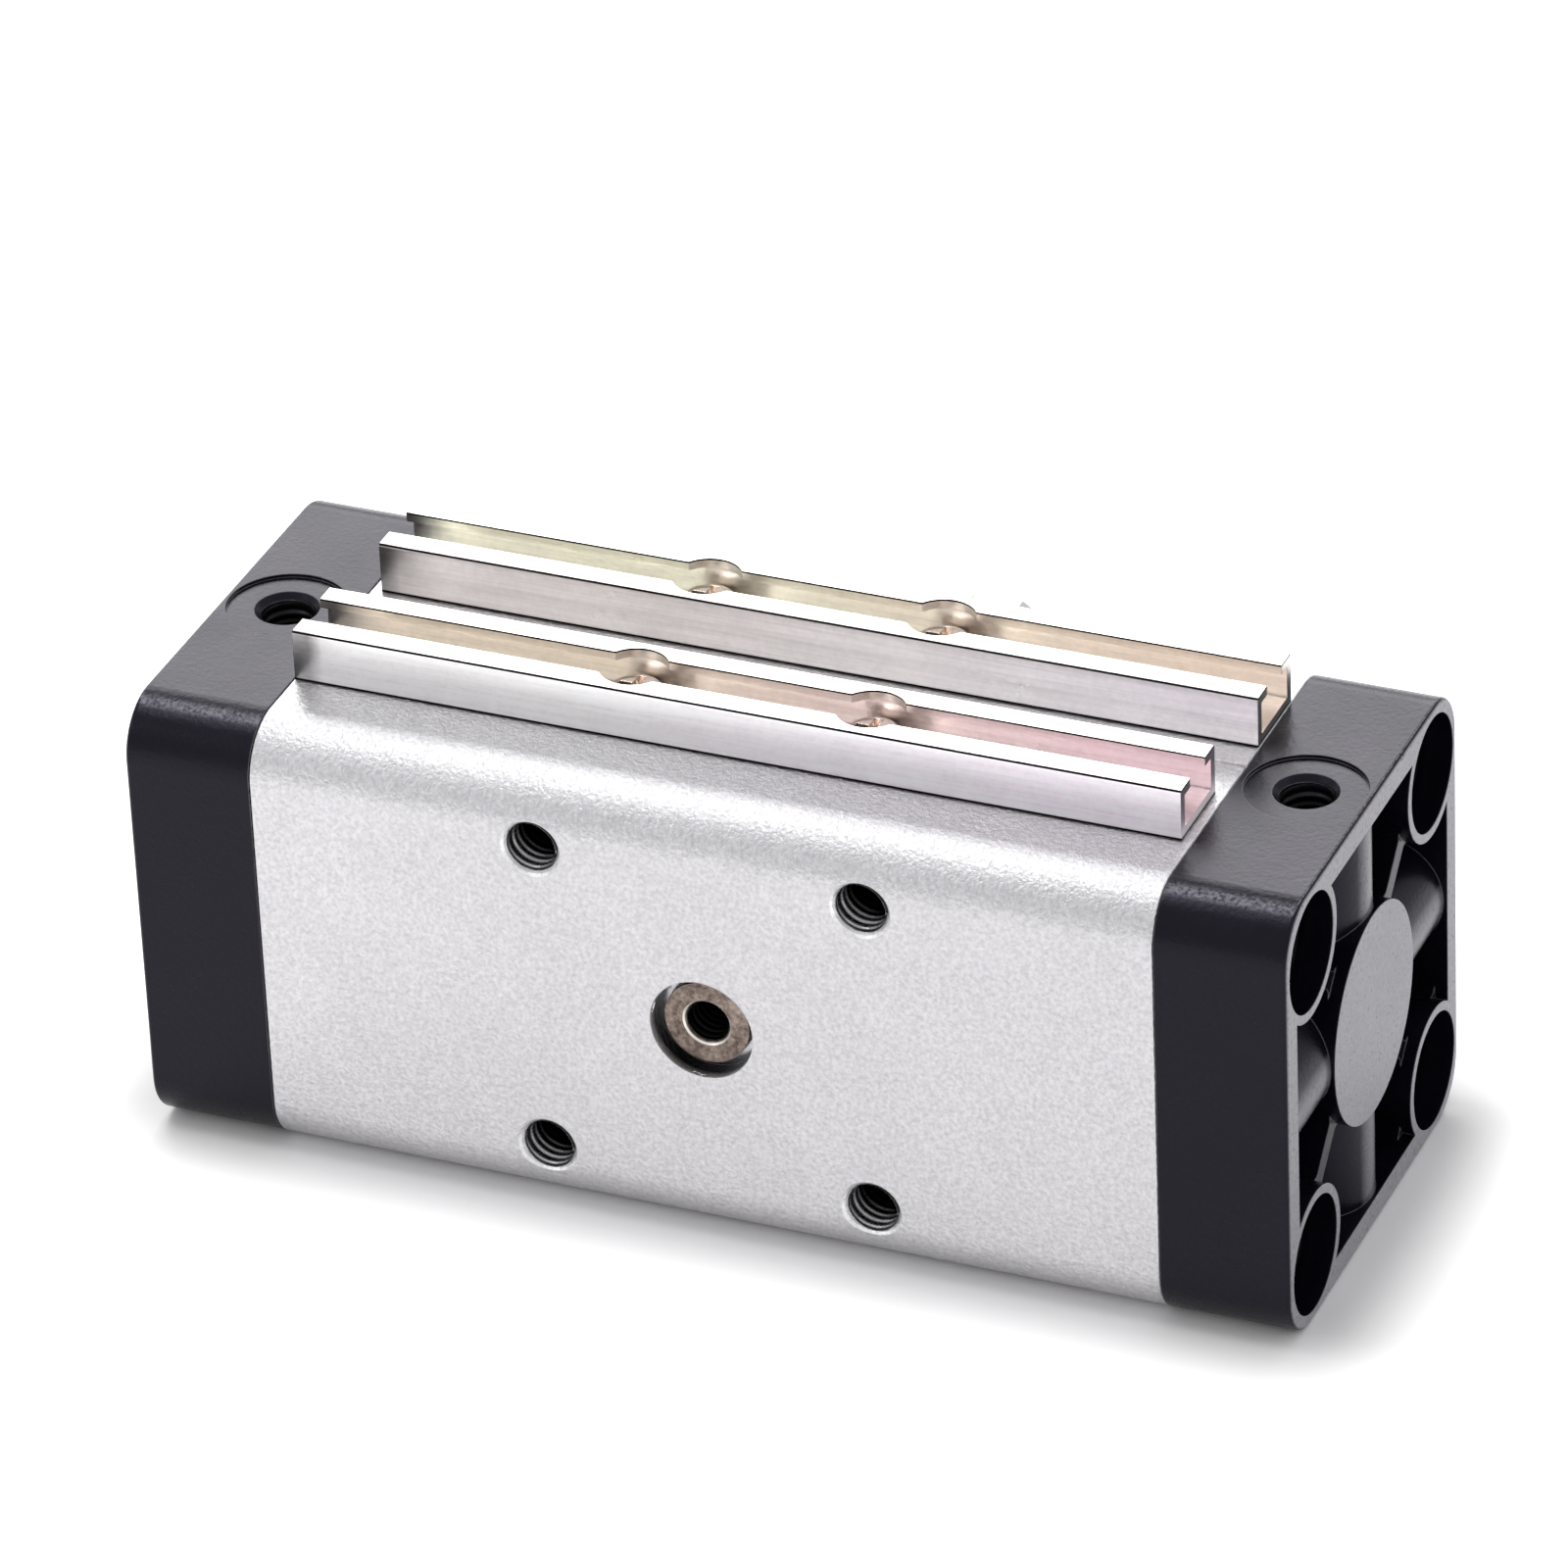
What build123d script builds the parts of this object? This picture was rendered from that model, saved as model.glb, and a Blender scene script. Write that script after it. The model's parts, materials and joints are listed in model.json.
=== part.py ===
from build123d import *
from math import acos, ceil, cos, pi, radians, sin, tan
import os

# Pneumatic rotary actuator, rack-and-pinion type with one output shaft.
# Millimetres. X runs along the body, +Y is the way the output shaft points, +Z is up.
# The origin is in the middle of the base, under the axis of the shaft.

# Gear pair
gear_module = 1.0
pinion_teeth = 12
pressure_angle = 25.0
tooth_thinning = 0.06
flank_steps = 4
pinion_width = 14.0
rack_width = 11.0
rack_back = 3.95
swing = 90.0

# Cylinder
bore_r = 15.0
wall = 4.0
corner_r = 4.5
block_edge = 0.15
piston_length = 8.55
piston_gap = 0.2
piston_to_pinion = 1.3
end_gap = 0.3

# End covers
cover_thickness = 10.5
cover_wall = 2.2
cover_floor = 2.6
hub_r = 8.8
tube_drop = 0.35
web_thickness = 1.5
web_drop = 1.1
pocket_fillet = 0.7
cover_edge_r = 0.35
spigot_length = 0.6
spigot_gap = 0.03

# Cover screws, M5 socket heads deep in their counterbores
screw_r = 2.5
screw_head_r = 4.25
screw_head_height = 5.0
screw_socket_flats = 4.0
screw_socket_depth = 2.5
screw_length = 12.0
screw_hole_r = 2.65
counterbore_r = 4.75
counterbore_rim = 0.75
counterbore_seat = 3.1
screw_edge = 0.4
thread_fit = 0.02
thread_spare = 1.5

# Air ports, M5
port_r = 2.1
port_mouth_r = 2.6
port_thread_depth = 6.0
port_spotface_r = 4.8
port_spotface_depth = 0.3
air_passage_r = 1.3

# Gaskets and bumpers
gasket_inner_gap = 0.2
gasket_width = 0.9
gasket_thickness = 0.8
bumper_inner_r = 4.0
bumper_outer_r = 9.0
bumper_seat = 1.0
bumper_proud = 0.4

# Mounting threads, M5, on both wide faces
mount_pitch = 27.0
mount_r = 2.1
mount_mouth_r = 2.5
mount_depth = 8.0
drill_point = 118.0
drill_tip_r = 0.05

# Output shaft
shaft_r = 4.0
shaft_reach = 25.0
shaft_flat_depth = 0.5
shaft_flat_length = 10.0
shaft_chamfer = 0.5
neck_drop = 0.2
neck_spare = 0.5
shoulder_height = 1.1
rear_journal_r = 3.5
rear_recess = 1.1
rear_hole_r = 1.7
rear_hole_mouth_r = 2.0
rear_hole_depth = 8.0
window_r = 4.25

# Ball bearings
front_bearing_r = 8.0
front_bearing_width = 4.0
rear_bearing_r = 7.0
rear_bearing_width = 3.5
rear_lip = 2.0
ball_share = 0.3
race_shoulder = 0.55
ball_clearance = 0.03
cage_thickness = 0.5
cage_band = 0.35
pocket_gap = 0.08
bearing_seat_fit = 0.01
ball_count = 8

# Bearing retainer: a flange sunk flush in the block, and the pilot of the mounting face
retainer_flange_r = 13.0
retainer_recess = 1.0
pilot_r = 12.5
pilot_height = 2.0
undercut_width = 0.3
undercut_depth = 0.2
retainer_overlap = 0.5
retainer_hole_gap = 0.6
retainer_screw_circle_r = 9.9
retainer_edge = 0.3
retainer_screw_r = 1.25
retainer_screw_head_r = 2.2
retainer_screw_length = 6.0
retainer_screw_gap = 0.1
retainer_thread_spare = 0.5
retainer_recess_width = 0.5
retainer_recess_span = 1.3
retainer_screw_count = 4

# Slider behind the rack
slider_gap = 0.05
slider_length = 15.4
slider_half_width = 7.0
slider_peg_r = 2.0
slider_peg_length = 2.0

# Piston furniture, from the inner face outwards
inner_land = 0.8
magnet_width = 1.6
middle_land = 0.75
wear_ring_width = 1.8
seal_land = 0.8
seal_width = 1.8
groove_depth = 1.8
piston_edge = 0.3
seal_lip = 0.63
ring_gap = 0.05
magnet_drop = 0.15
rack_socket_depth = 1.5
rack_socket_gap = 0.05
link_screw_r = 1.5
link_screw_head_r = 2.75
link_screw_head_height = 3.0
link_screw_length = 10.0
link_hole_gap = 0.1
link_thread_spare = 1.0
link_head_gap = 0.15
link_head_drop = 0.2
link_screw_socket_flats = 2.5

# Switch rails
rail_width = 7.2
rail_height = 4.3
rail_sheet = 0.8
rail_edge_r = 0.25
rail_slot = 3.2
rail_end_gap = 0.55
rail_screw_pitch = 19.5
rail_cutout_r = 2.75
blank_rail_y = -6.5
shaft_rail_y = 7.9
rail_shift = 0.4
rail_screw_r = 1.5
rail_screw_head_r = 2.5
rail_screw_head_height = 1.8
rail_screw_length = 4.0
rail_screw_crown = 1.08
rail_recess_span = 1.2
rail_thread_spare = 0.3
rail_hole_gap = 0.2
seat_line_y = 1.4
seat_line_width = 0.5
seat_line_depth = 0.25
cross_slot_width = 0.7
cross_slot_depth = 0.9

# Worked out from the sizes above
pitch_r = gear_module * pinion_teeth / 2
tip_r = pitch_r + gear_module
root_r = pitch_r - 1.25 * gear_module
base_r = pitch_r * cos(radians(pressure_angle))
travel = pitch_r * radians(swing)
tooth_pitch = pi * gear_module
section = 2 * (bore_r + wall)
half = section / 2
axis_z = half
piston_r = bore_r - piston_gap
piston_inner_x = tip_r + piston_to_pinion + travel
piston_outer_x = piston_inner_x + piston_length
bumper_face_x = piston_outer_x + travel + end_gap
seam_x = bumper_face_x + bumper_proud + spigot_length
end_x = seam_x + cover_thickness
port_x = seam_x + cover_thickness / 2
cover_screw_offset = half - counterbore_rim - counterbore_r
counterbore_depth = cover_thickness - counterbore_seat
rack_tip_z = axis_z - pitch_r + gear_module
rack_root_z = axis_z - pitch_r - 1.25 * gear_module
rack_back_z = rack_root_z - rack_back
rail_length = 2 * (seam_x - rail_end_gap)
rack_half_length = piston_inner_x + rack_socket_depth
link_screw_z = (rack_root_z + rack_back_z) / 2
groove_floor_r = piston_r - groove_depth
front_bearing_y = half - retainer_recess + retainer_overlap - front_bearing_width
rear_bearing_y = -half + rear_lip
shaft_axis = Axis((0, 0, axis_z), (0, 1, 0))
body_axis = Axis((0, 0, axis_z), (1, 0, 0))


def across(x):
    """Plane square to the body's length: its x is Y and its y is up from the bore's axis."""
    return Plane(origin=(x, 0, axis_z), x_dir=(0, 1, 0), z_dir=(1, 0, 0))


def facing(y):
    """Plane square to the shaft: its x is X and its y runs down from the shaft's axis."""
    return Plane(origin=(0, y, axis_z), x_dir=(1, 0, 0), z_dir=(0, 1, 0))


def shaft_profile():
    """Plane through the shaft's axis: its x is the radius and its y is Y."""
    return Plane(origin=(0, 0, axis_z), x_dir=(1, 0, 0), z_dir=(0, 0, 1))


def rod_x(x0, x1, r, y=0.0, z=0.0):
    """Round bar along X, placed from the bore's axis."""
    return extrude(across(x0) * Pos(y, z) * Circle(r), x1 - x0)


def rod_y(y0, y1, r, x=0.0, down=0.0):
    """Round bar along Y, placed from the shaft's axis."""
    return extrude(facing(y0) * Pos(x, down) * Circle(r), y1 - y0)


def rod_z(z0, z1, r, x=0.0, y=0.0):
    """Round bar along Z."""
    return extrude(Plane.XY.offset(z0) * Pos(x, y) * Circle(r), z1 - z0)


def ring_about_shaft(y0, y1, r0, r1):
    """Plain ring round the shaft's axis."""
    return extrude(facing(y0) * (Circle(r1) - Circle(r0)), y1 - y0)


def ring_about_bore(x0, x1, r0, r1):
    """Plain ring round the bore's axis."""
    return extrude(across(x0) * (Circle(r1) - Circle(r0)), x1 - x0)


def corners(offset):
    """Four places on a square about the axis."""
    return [(a * offset, b * offset) for a in (-1, 1) for b in (-1, 1)]


def drilled_y(x, down, mouth_y, inward, r, mouth_r, depth):
    """Tapping-drill hole along Y with a conical point and a countersunk mouth."""
    start = facing(mouth_y) * Pos(x, down)
    bottom = mouth_y + inward * depth
    cone_height = r / tan(radians(drill_point / 2))
    hole = rod_y(min(mouth_y, bottom), max(mouth_y, bottom), r, x, down)
    tip = loft([facing(bottom) * Pos(x, down) * Circle(r),
                facing(bottom + inward * cone_height) * Pos(x, down) * Circle(drill_tip_r)])
    mouth = loft([start * Circle(mouth_r),
                  facing(mouth_y + inward * (mouth_r - r)) * Pos(x, down) * Circle(r)])
    return hole + tip + mouth


def body_block():
    """Extruded block with the cylinder bore, the bearing seats and every tapped hole."""
    block = extrude(across(-seam_x) * RectangleRounded(section, section, corner_r), 2 * seam_x)
    ends = block.faces().sort_by(Axis.X)
    block = chamfer(ends[0].edges() + ends[-1].edges(), block_edge)
    block -= rod_x(-seam_x, seam_x, bore_r)
    block -= rod_y(0, half, front_bearing_r + bearing_seat_fit)
    block -= rod_y(half - retainer_recess, half, retainer_flange_r + bearing_seat_fit)
    block -= rod_y(rear_bearing_y, 0, rear_bearing_r + bearing_seat_fit)
    block -= rod_y(-half, rear_bearing_y, window_r)
    for x, down in corners(mount_pitch / 2):
        block -= drilled_y(x, down, -half, 1, mount_r, mount_mouth_r, mount_depth)
        block -= drilled_y(x, down, half, -1, mount_r, mount_mouth_r, mount_depth)
    engaged = screw_length - counterbore_seat + thread_spare
    for y, z in corners(cover_screw_offset):
        block -= rod_x(seam_x - engaged, seam_x, screw_r + thread_fit, y, z)
        block -= rod_x(-seam_x, -seam_x + engaged, screw_r + thread_fit, y, z)
    for x, down in retainer_screw_places():
        deep = retainer_screw_length - pilot_height - retainer_recess + retainer_thread_spare
        block -= rod_y(half - retainer_recess - deep, half, retainer_screw_r + thread_fit, x, down)
    for x, y in rail_screw_places():
        deep = rail_screw_length - rail_sheet + rail_thread_spare
        block -= rod_z(section - deep, section, rail_screw_r + thread_fit, x, y)
    block -= rod_z(axis_z - bore_r - slider_peg_length, axis_z, slider_peg_r + bearing_seat_fit)
    seat_line = Box(2 * seam_x, seat_line_width, 2 * seat_line_depth)
    return block - Pos(0, seat_line_y, section) * seat_line


def cover_hollow():
    """Outline of a cover's cored hollow: inside of the rim wall, less hub and corner bosses."""
    inner = section - 2 * cover_wall
    inner_corner_r = max(corner_r - cover_wall, pocket_fillet)
    hollow = RectangleRounded(inner, inner, inner_corner_r) - Circle(hub_r)
    for y, z in corners(cover_screw_offset):
        hollow -= Pos(y, z) * Circle(counterbore_r + counterbore_rim)
    return hollow


def cover_webs():
    """Outline of the two diagonal bars whose ends stand as webs between hub and bosses."""
    return Sketch() + [Rot(0, 0, angle) * Rectangle(2 * section, web_thickness) for angle in (45, -45)]


def cover_tubes():
    """Four radial tubes that carry the port passages from the walls to the hub."""
    tube_r = cover_thickness / 2 - tube_drop
    reach = half - cover_wall / 2
    tube = extrude(Plane.XY.offset(axis_z) * Pos(port_x, 0) * Circle(tube_r), reach)
    return [tube.rotate(body_axis, angle) for angle in (0, 90, 180, 270)]


def right_cover():
    """Die-cast end cover: rim wall, corner bosses, hub, radial tubes, webs, port and gasket groove."""
    cover = extrude(across(seam_x) * RectangleRounded(section, section, corner_r), cover_thickness)
    rim = cover.faces().sort_by(Axis.X)[-1].outer_wire().edges()
    cover = fillet(rim, cover_edge_r)
    hollow = cover_hollow()
    pockets = hollow - cover_webs()
    pockets = fillet(pockets.vertices(), pocket_fillet)
    cover -= extrude(across(seam_x + cover_floor) * pockets, cover_thickness - cover_floor)
    cover -= extrude(across(end_x - web_drop) * hollow, web_drop)
    for tube in cover_tubes():
        cover += tube
    cover += rod_x(seam_x - spigot_length, seam_x + bumper_seat, bore_r - spigot_gap)
    for y, z in corners(cover_screw_offset):
        cover -= rod_x(seam_x, end_x, screw_hole_r, y, z)
        cover -= rod_x(end_x - counterbore_depth, end_x, counterbore_r, y, z)
    cover -= rod_z(section - port_spotface_depth, section, port_spotface_r, port_x, 0)
    thread_top = section - port_spotface_depth
    cover -= rod_z(thread_top - port_thread_depth, thread_top, port_r, port_x, 0)
    cover -= loft([Plane.XY.offset(thread_top) * Pos(port_x, 0) * Circle(port_mouth_r),
                   Plane.XY.offset(thread_top - (port_mouth_r - port_r)) * Pos(port_x, 0) * Circle(port_r)])
    cover -= rod_z(axis_z, thread_top, air_passage_r, port_x, 0)
    cover -= rod_x(seam_x - spigot_length, port_x, air_passage_r)
    gasket_r = bore_r + gasket_inner_gap
    cover -= ring_about_bore(seam_x, seam_x + gasket_thickness, gasket_r, gasket_r + gasket_width)
    bumper_x = seam_x - spigot_length
    cover -= ring_about_bore(bumper_x, bumper_x + bumper_seat, bumper_inner_r, bumper_outer_r)
    return cover


def right_gasket():
    """Flat ring that seals the cover on the end of the block."""
    gasket_r = bore_r + gasket_inner_gap
    return ring_about_bore(seam_x, seam_x + gasket_thickness, gasket_r, gasket_r + gasket_width)


def right_bumper():
    """Rubber ring that stops the piston at the end of its stroke."""
    bumper_x = seam_x - spigot_length
    return ring_about_bore(bumper_x - bumper_proud, bumper_x + bumper_seat, bumper_inner_r, bumper_outer_r)


def right_cover_screws():
    """Four socket-head screws along X, heads outwards."""
    seat_x = end_x - counterbore_depth
    head = rod_x(seat_x, seat_x + screw_head_height, screw_head_r)
    head = chamfer(head.faces().sort_by(Axis.X)[-1].edges(), screw_edge)
    hexagon = RegularPolygon(screw_socket_flats / 2, 6, major_radius=False)
    top_x = seat_x + screw_head_height
    head -= extrude(across(top_x - screw_socket_depth) * hexagon, screw_socket_depth)
    shank = rod_x(seat_x - screw_length, seat_x, screw_r)
    shank = chamfer(shank.faces().sort_by(Axis.X)[0].edges(), screw_edge)
    screw = head + shank
    return Compound(children=[Pos(0, y, z) * screw for y, z in corners(cover_screw_offset)])


def rail_screw_places():
    """Where the rail screws stand on the top of the block."""
    rails = ((blank_rail_y, -rail_shift), (shaft_rail_y, rail_shift))
    return [(side * rail_screw_pitch / 2, y) for y, shift in rails for side in (-1, 1)]


def switch_rail(y, shift):
    """C-section rail with two round cut-outs in its lips over the screw holes."""
    start = Plane(origin=(shift - rail_length / 2, y, section), x_dir=(0, 1, 0), z_dir=(1, 0, 0))
    outer = Pos(0, rail_height / 2) * Rectangle(rail_width, rail_height)
    outer = fillet(outer.vertices().sort_by(Axis.Y)[-2:], rail_edge_r)
    channel_height = rail_height - 2 * rail_sheet
    channel = Pos(0, rail_height / 2) * Rectangle(rail_width - 2 * rail_sheet, channel_height)
    slot = Pos(0, rail_height) * Rectangle(rail_slot, 3 * rail_sheet)
    rail = extrude(start * (outer - channel - slot), rail_length)
    for side in (-1, 1):
        x = side * rail_screw_pitch / 2
        top = section + rail_height
        rail -= rod_z(section + rail_sheet, top, rail_cutout_r, x, y)
        rail -= rod_z(section, section + rail_sheet, rail_screw_r + rail_hole_gap, x, y)
    return rail


def rail_screws(y):
    """Two cross-recessed pan-head screws that hold a rail down."""
    seat_z = section + rail_sheet
    head = rod_z(seat_z, seat_z + rail_screw_head_height, rail_screw_head_r)
    head = fillet(head.faces().sort_by(Axis.Z)[-1].edges(), rail_screw_crown)
    recess = Box(rail_recess_span * rail_screw_head_r, cross_slot_width, 2 * cross_slot_depth)
    recess += Box(cross_slot_width, rail_recess_span * rail_screw_head_r, 2 * cross_slot_depth)
    head -= Pos(0, 0, seat_z + rail_screw_head_height) * recess
    screw = head + rod_z(seat_z - rail_screw_length, seat_z, rail_screw_r)
    return Compound(children=[Pos(side * rail_screw_pitch / 2, y, 0) * screw for side in (-1, 1)])


def retainer_screw_places():
    """Where the retainer screws stand round the shaft."""
    step = 360 / retainer_screw_count
    turns = [radians(45 + step * i) for i in range(retainer_screw_count)]
    return [(retainer_screw_circle_r * cos(a), retainer_screw_circle_r * sin(a)) for a in turns]


def bearing_retainer():
    """Flanged plate that holds the front bearing in; its boss is the mounting pilot."""
    bottom = half - retainer_recess
    top = half + pilot_height
    pilot = rod_y(half, top, pilot_r)
    plate = chamfer(pilot.faces().sort_by(Axis.Y)[-1].edges(), retainer_edge)
    plate += rod_y(bottom, half, retainer_flange_r)
    plate -= ring_about_shaft(half, half + undercut_width, pilot_r - undercut_depth, retainer_flange_r)
    plate -= rod_y(bottom, bottom + retainer_overlap, front_bearing_r + bearing_seat_fit)
    plate -= rod_y(bottom, top, shaft_r + retainer_hole_gap)
    head_depth = retainer_screw_head_r - retainer_screw_r
    for x, down in retainer_screw_places():
        plate -= rod_y(bottom, top, retainer_screw_r + retainer_screw_gap, x, down)
        plate -= countersunk_head(x, down, top, head_depth)
    return plate


def countersunk_head(x, down, top, depth):
    """Cone of a countersunk head, widest at the plate's face."""
    return loft([facing(top) * Pos(x, down) * Circle(retainer_screw_head_r),
                 facing(top - depth) * Pos(x, down) * Circle(retainer_screw_r)])


def retainer_screws():
    """Countersunk screws with a cross recess, flush with the pilot's face."""
    top = half + pilot_height
    head_depth = retainer_screw_head_r - retainer_screw_r
    screws = []
    for x, down in retainer_screw_places():
        screw = countersunk_head(x, down, top, head_depth)
        screw += rod_y(top - retainer_screw_length, top - head_depth, retainer_screw_r, x, down)
        arm = retainer_recess_span * retainer_screw_head_r
        recess = Box(arm, 2 * cross_slot_depth, retainer_recess_width)
        recess += Box(retainer_recess_width, 2 * cross_slot_depth, arm)
        screws.append(screw - Pos(x, top, axis_z - down) * recess)
    return Compound(children=screws)


def bearing_parts(inner_r, outer_r, width, y0):
    """Deep-groove ball bearing: outer race, inner race, cage and balls."""
    middle = y0 + width / 2
    ball_circle_r = (inner_r + outer_r) / 2
    ball_r = ball_share * (outer_r - inner_r)
    shoulder = race_shoulder * ball_r
    groove = Pos(ball_circle_r, middle) * Circle(ball_r + ball_clearance)
    inner_face = Pos((inner_r + ball_circle_r - shoulder) / 2, middle) * Rectangle(
        ball_circle_r - shoulder - inner_r, width)
    outer_face = Pos((outer_r + ball_circle_r + shoulder) / 2, middle) * Rectangle(
        outer_r - ball_circle_r - shoulder, width)
    inner_race = revolve(shaft_profile() * (inner_face - groove), shaft_axis)
    outer_race = revolve(shaft_profile() * (outer_face - groove), shaft_axis)
    cage_half_width = ball_r + cage_band
    cage = ring_about_shaft(middle - cage_half_width, middle + cage_half_width,
                            ball_circle_r - cage_thickness / 2, ball_circle_r + cage_thickness / 2)
    balls = []
    for i in range(ball_count):
        place = Pos(0, middle, axis_z) * Rot(0, 360 * i / ball_count, 0) * Pos(ball_circle_r, 0, 0)
        cage -= place * Rot(0, 90, 0) * Cylinder(ball_r + pocket_gap, 4 * cage_thickness)
        balls.append(place * Sphere(ball_r))
    return outer_race, inner_race, cage, Compound(children=balls)


def pinion_outline():
    """Outline of the pinion, one tooth pointing straight down at the rack."""
    half_tooth = pi / (2 * pinion_teeth) - tooth_thinning / pitch_r
    involute_at_pitch = tan(radians(pressure_angle)) - radians(pressure_angle)
    flank = [(root_r, half_tooth + involute_at_pitch)]
    for i in range(flank_steps + 1):
        r = base_r + (tip_r - base_r) * i / flank_steps
        alpha = acos(min(1.0, base_r / r))
        flank.append((r, half_tooth + involute_at_pitch - (tan(alpha) - alpha)))
    points = []
    for tooth in range(pinion_teeth):
        centre = pi / 2 + 2 * pi * tooth / pinion_teeth
        points += [(r * cos(centre - turn), r * sin(centre - turn)) for r, turn in flank]
        points += [(r * cos(centre + turn), r * sin(centre + turn)) for r, turn in reversed(flank)]
    return make_face(Polyline(points, close=True))


def pinion_shaft():
    """Output shaft with the pinion cut on it, journals, relieved neck, flat and tapped rear end."""
    rear_end = -half + rear_recess
    rear_shoulder = rear_bearing_y + rear_bearing_width
    front_end = half + shaft_reach
    shaft = extrude(facing(-pinion_width / 2) * pinion_outline(), pinion_width)
    shaft += rod_y(rear_end, rear_shoulder, rear_journal_r)
    shaft += rod_y(rear_shoulder, -pinion_width / 2, rear_journal_r + shoulder_height)
    shaft += rod_y(pinion_width / 2, front_bearing_y, shaft_r + shoulder_height)
    neck_y = front_bearing_y + front_bearing_width
    output_y = half + pilot_height + neck_spare
    shaft += rod_y(front_bearing_y, neck_y, shaft_r)
    shaft += rod_y(neck_y, output_y, shaft_r - neck_drop)
    shaft += rod_y(output_y, front_end, shaft_r)
    shaft = chamfer(shaft.faces().sort_by(Axis.Y)[-1].outer_wire().edges(), shaft_chamfer)
    flat = Box(4 * shaft_r, shaft_flat_length, 2 * shaft_r)
    flat_z = axis_z + shaft_r - shaft_flat_depth + shaft_r
    shaft -= Pos(0, front_end - shaft_flat_length / 2, flat_z) * flat
    shaft -= drilled_y(0, 0, rear_end, 1, rear_hole_r, rear_hole_mouth_r, rear_hole_depth)
    return shaft


def rack():
    """Toothed bar under the pinion, tapped at both ends for the connecting screws."""
    height = rack_tip_z - rack_back_z
    bar = Pos(0, 0, rack_back_z + height / 2) * Box(2 * rack_half_length, rack_width, height)
    slope = tan(radians(pressure_angle))
    depth = rack_tip_z - rack_root_z
    half_space = tooth_pitch / 4 + tooth_thinning / 2
    mouth = half_space + gear_module * slope
    floor = half_space - (depth - gear_module) * slope
    side_plane = Plane(origin=(0, rack_width, 0), x_dir=(1, 0, 0), z_dir=(0, -1, 0))
    reach = ceil(travel / tooth_pitch - 0.01) + 1
    for k in range(-reach, reach + 1):
        x = k * tooth_pitch
        space = Polyline([(x - mouth, rack_tip_z), (x - floor, rack_root_z),
                          (x + floor, rack_root_z), (x + mouth, rack_tip_z)], close=True)
        bar -= extrude(side_plane * make_face(space), 2 * rack_width)
    deep = link_screw_depth() + link_thread_spare
    for side in (-1, 1):
        x0 = side * rack_half_length
        x1 = side * (rack_half_length - deep)
        bar -= rod_x(min(x0, x1), max(x0, x1), link_screw_r + thread_fit, 0, link_screw_z - axis_z)
    return bar


def link_head_x():
    """Where the head of a connecting screw seats in its piston."""
    return piston_outer_x - link_head_drop - link_screw_head_height


def link_screw_depth():
    """How far a connecting screw goes into the rack."""
    return link_screw_length - (link_head_x() - rack_half_length)


def piston_groove_starts():
    """Where the magnet, wear ring and seal grooves of the right piston begin."""
    magnet_x = piston_inner_x + inner_land
    wear_x = magnet_x + magnet_width + middle_land
    seal_x = wear_x + wear_ring_width + seal_land
    return magnet_x, wear_x, seal_x


def right_piston():
    """Piston with three ring grooves, a socket for the rack and a seat for its screw."""
    piston = rod_x(piston_inner_x, piston_outer_x, piston_r)
    piston = chamfer(piston.faces().sort_by(Axis.X)[-1].edges(), piston_edge)
    widths = (magnet_width, wear_ring_width, seal_width)
    for x, width in zip(piston_groove_starts(), widths):
        piston -= ring_about_bore(x, x + width, groove_floor_r, bore_r)
    socket_height = rack_tip_z - rack_back_z + 2 * rack_socket_gap
    socket = Box(2 * rack_socket_depth, rack_width + 2 * rack_socket_gap, socket_height)
    piston -= Pos(piston_inner_x, 0, (rack_tip_z + rack_back_z) / 2) * socket
    screw_z = link_screw_z - axis_z
    piston -= rod_x(piston_inner_x, piston_outer_x, link_screw_r + link_hole_gap, 0, screw_z)
    piston -= rod_x(link_head_x(), piston_outer_x, link_screw_head_r + link_head_gap, 0, screw_z)
    return piston


def right_piston_rings():
    """Magnet ring, wear ring and seal of the right piston."""
    magnet_x, wear_x, seal_x = piston_groove_starts()
    running_r = bore_r - ring_gap
    magnet = ring_about_bore(magnet_x, magnet_x + magnet_width, groove_floor_r, piston_r - magnet_drop)
    wear_ring = ring_about_bore(wear_x, wear_x + wear_ring_width, groove_floor_r, running_r)
    seal = ring_about_bore(seal_x, seal_x + seal_width, groove_floor_r, running_r)
    seal = chamfer(seal.faces().sort_by(Axis.X)[0].outer_wire().edges(), seal_lip)
    return magnet, wear_ring, seal


def right_link_screw():
    """Socket-head screw that ties the piston to the rack."""
    seat_x = link_head_x()
    screw_z = link_screw_z - axis_z
    screw = rod_x(seat_x, seat_x + link_screw_head_height, link_screw_head_r, 0, screw_z)
    hexagon = RegularPolygon(link_screw_socket_flats / 2, 6, major_radius=False)
    socket = extrude(across(seat_x + link_screw_head_height / 2) * Pos(0, screw_z) * hexagon,
                     link_screw_head_height / 2)
    screw -= socket
    return screw + rod_x(seat_x - link_screw_length, seat_x, link_screw_r, 0, screw_z)


def rack_slider():
    """Pad between the rack and the bore that keeps the teeth in mesh, with a locating peg."""
    top = rack_back_z - slider_gap
    pad = rod_x(-slider_length / 2, slider_length / 2, bore_r)
    keep = Box(slider_length, 2 * slider_half_width, section)
    pad &= Pos(0, 0, top - section / 2) * keep
    return pad + rod_z(axis_z - bore_r - slider_peg_length, top, slider_peg_r)


def left(shape):
    """The same piece at the other end of the body."""
    return mirror(shape, about=Plane.YZ)


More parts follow.
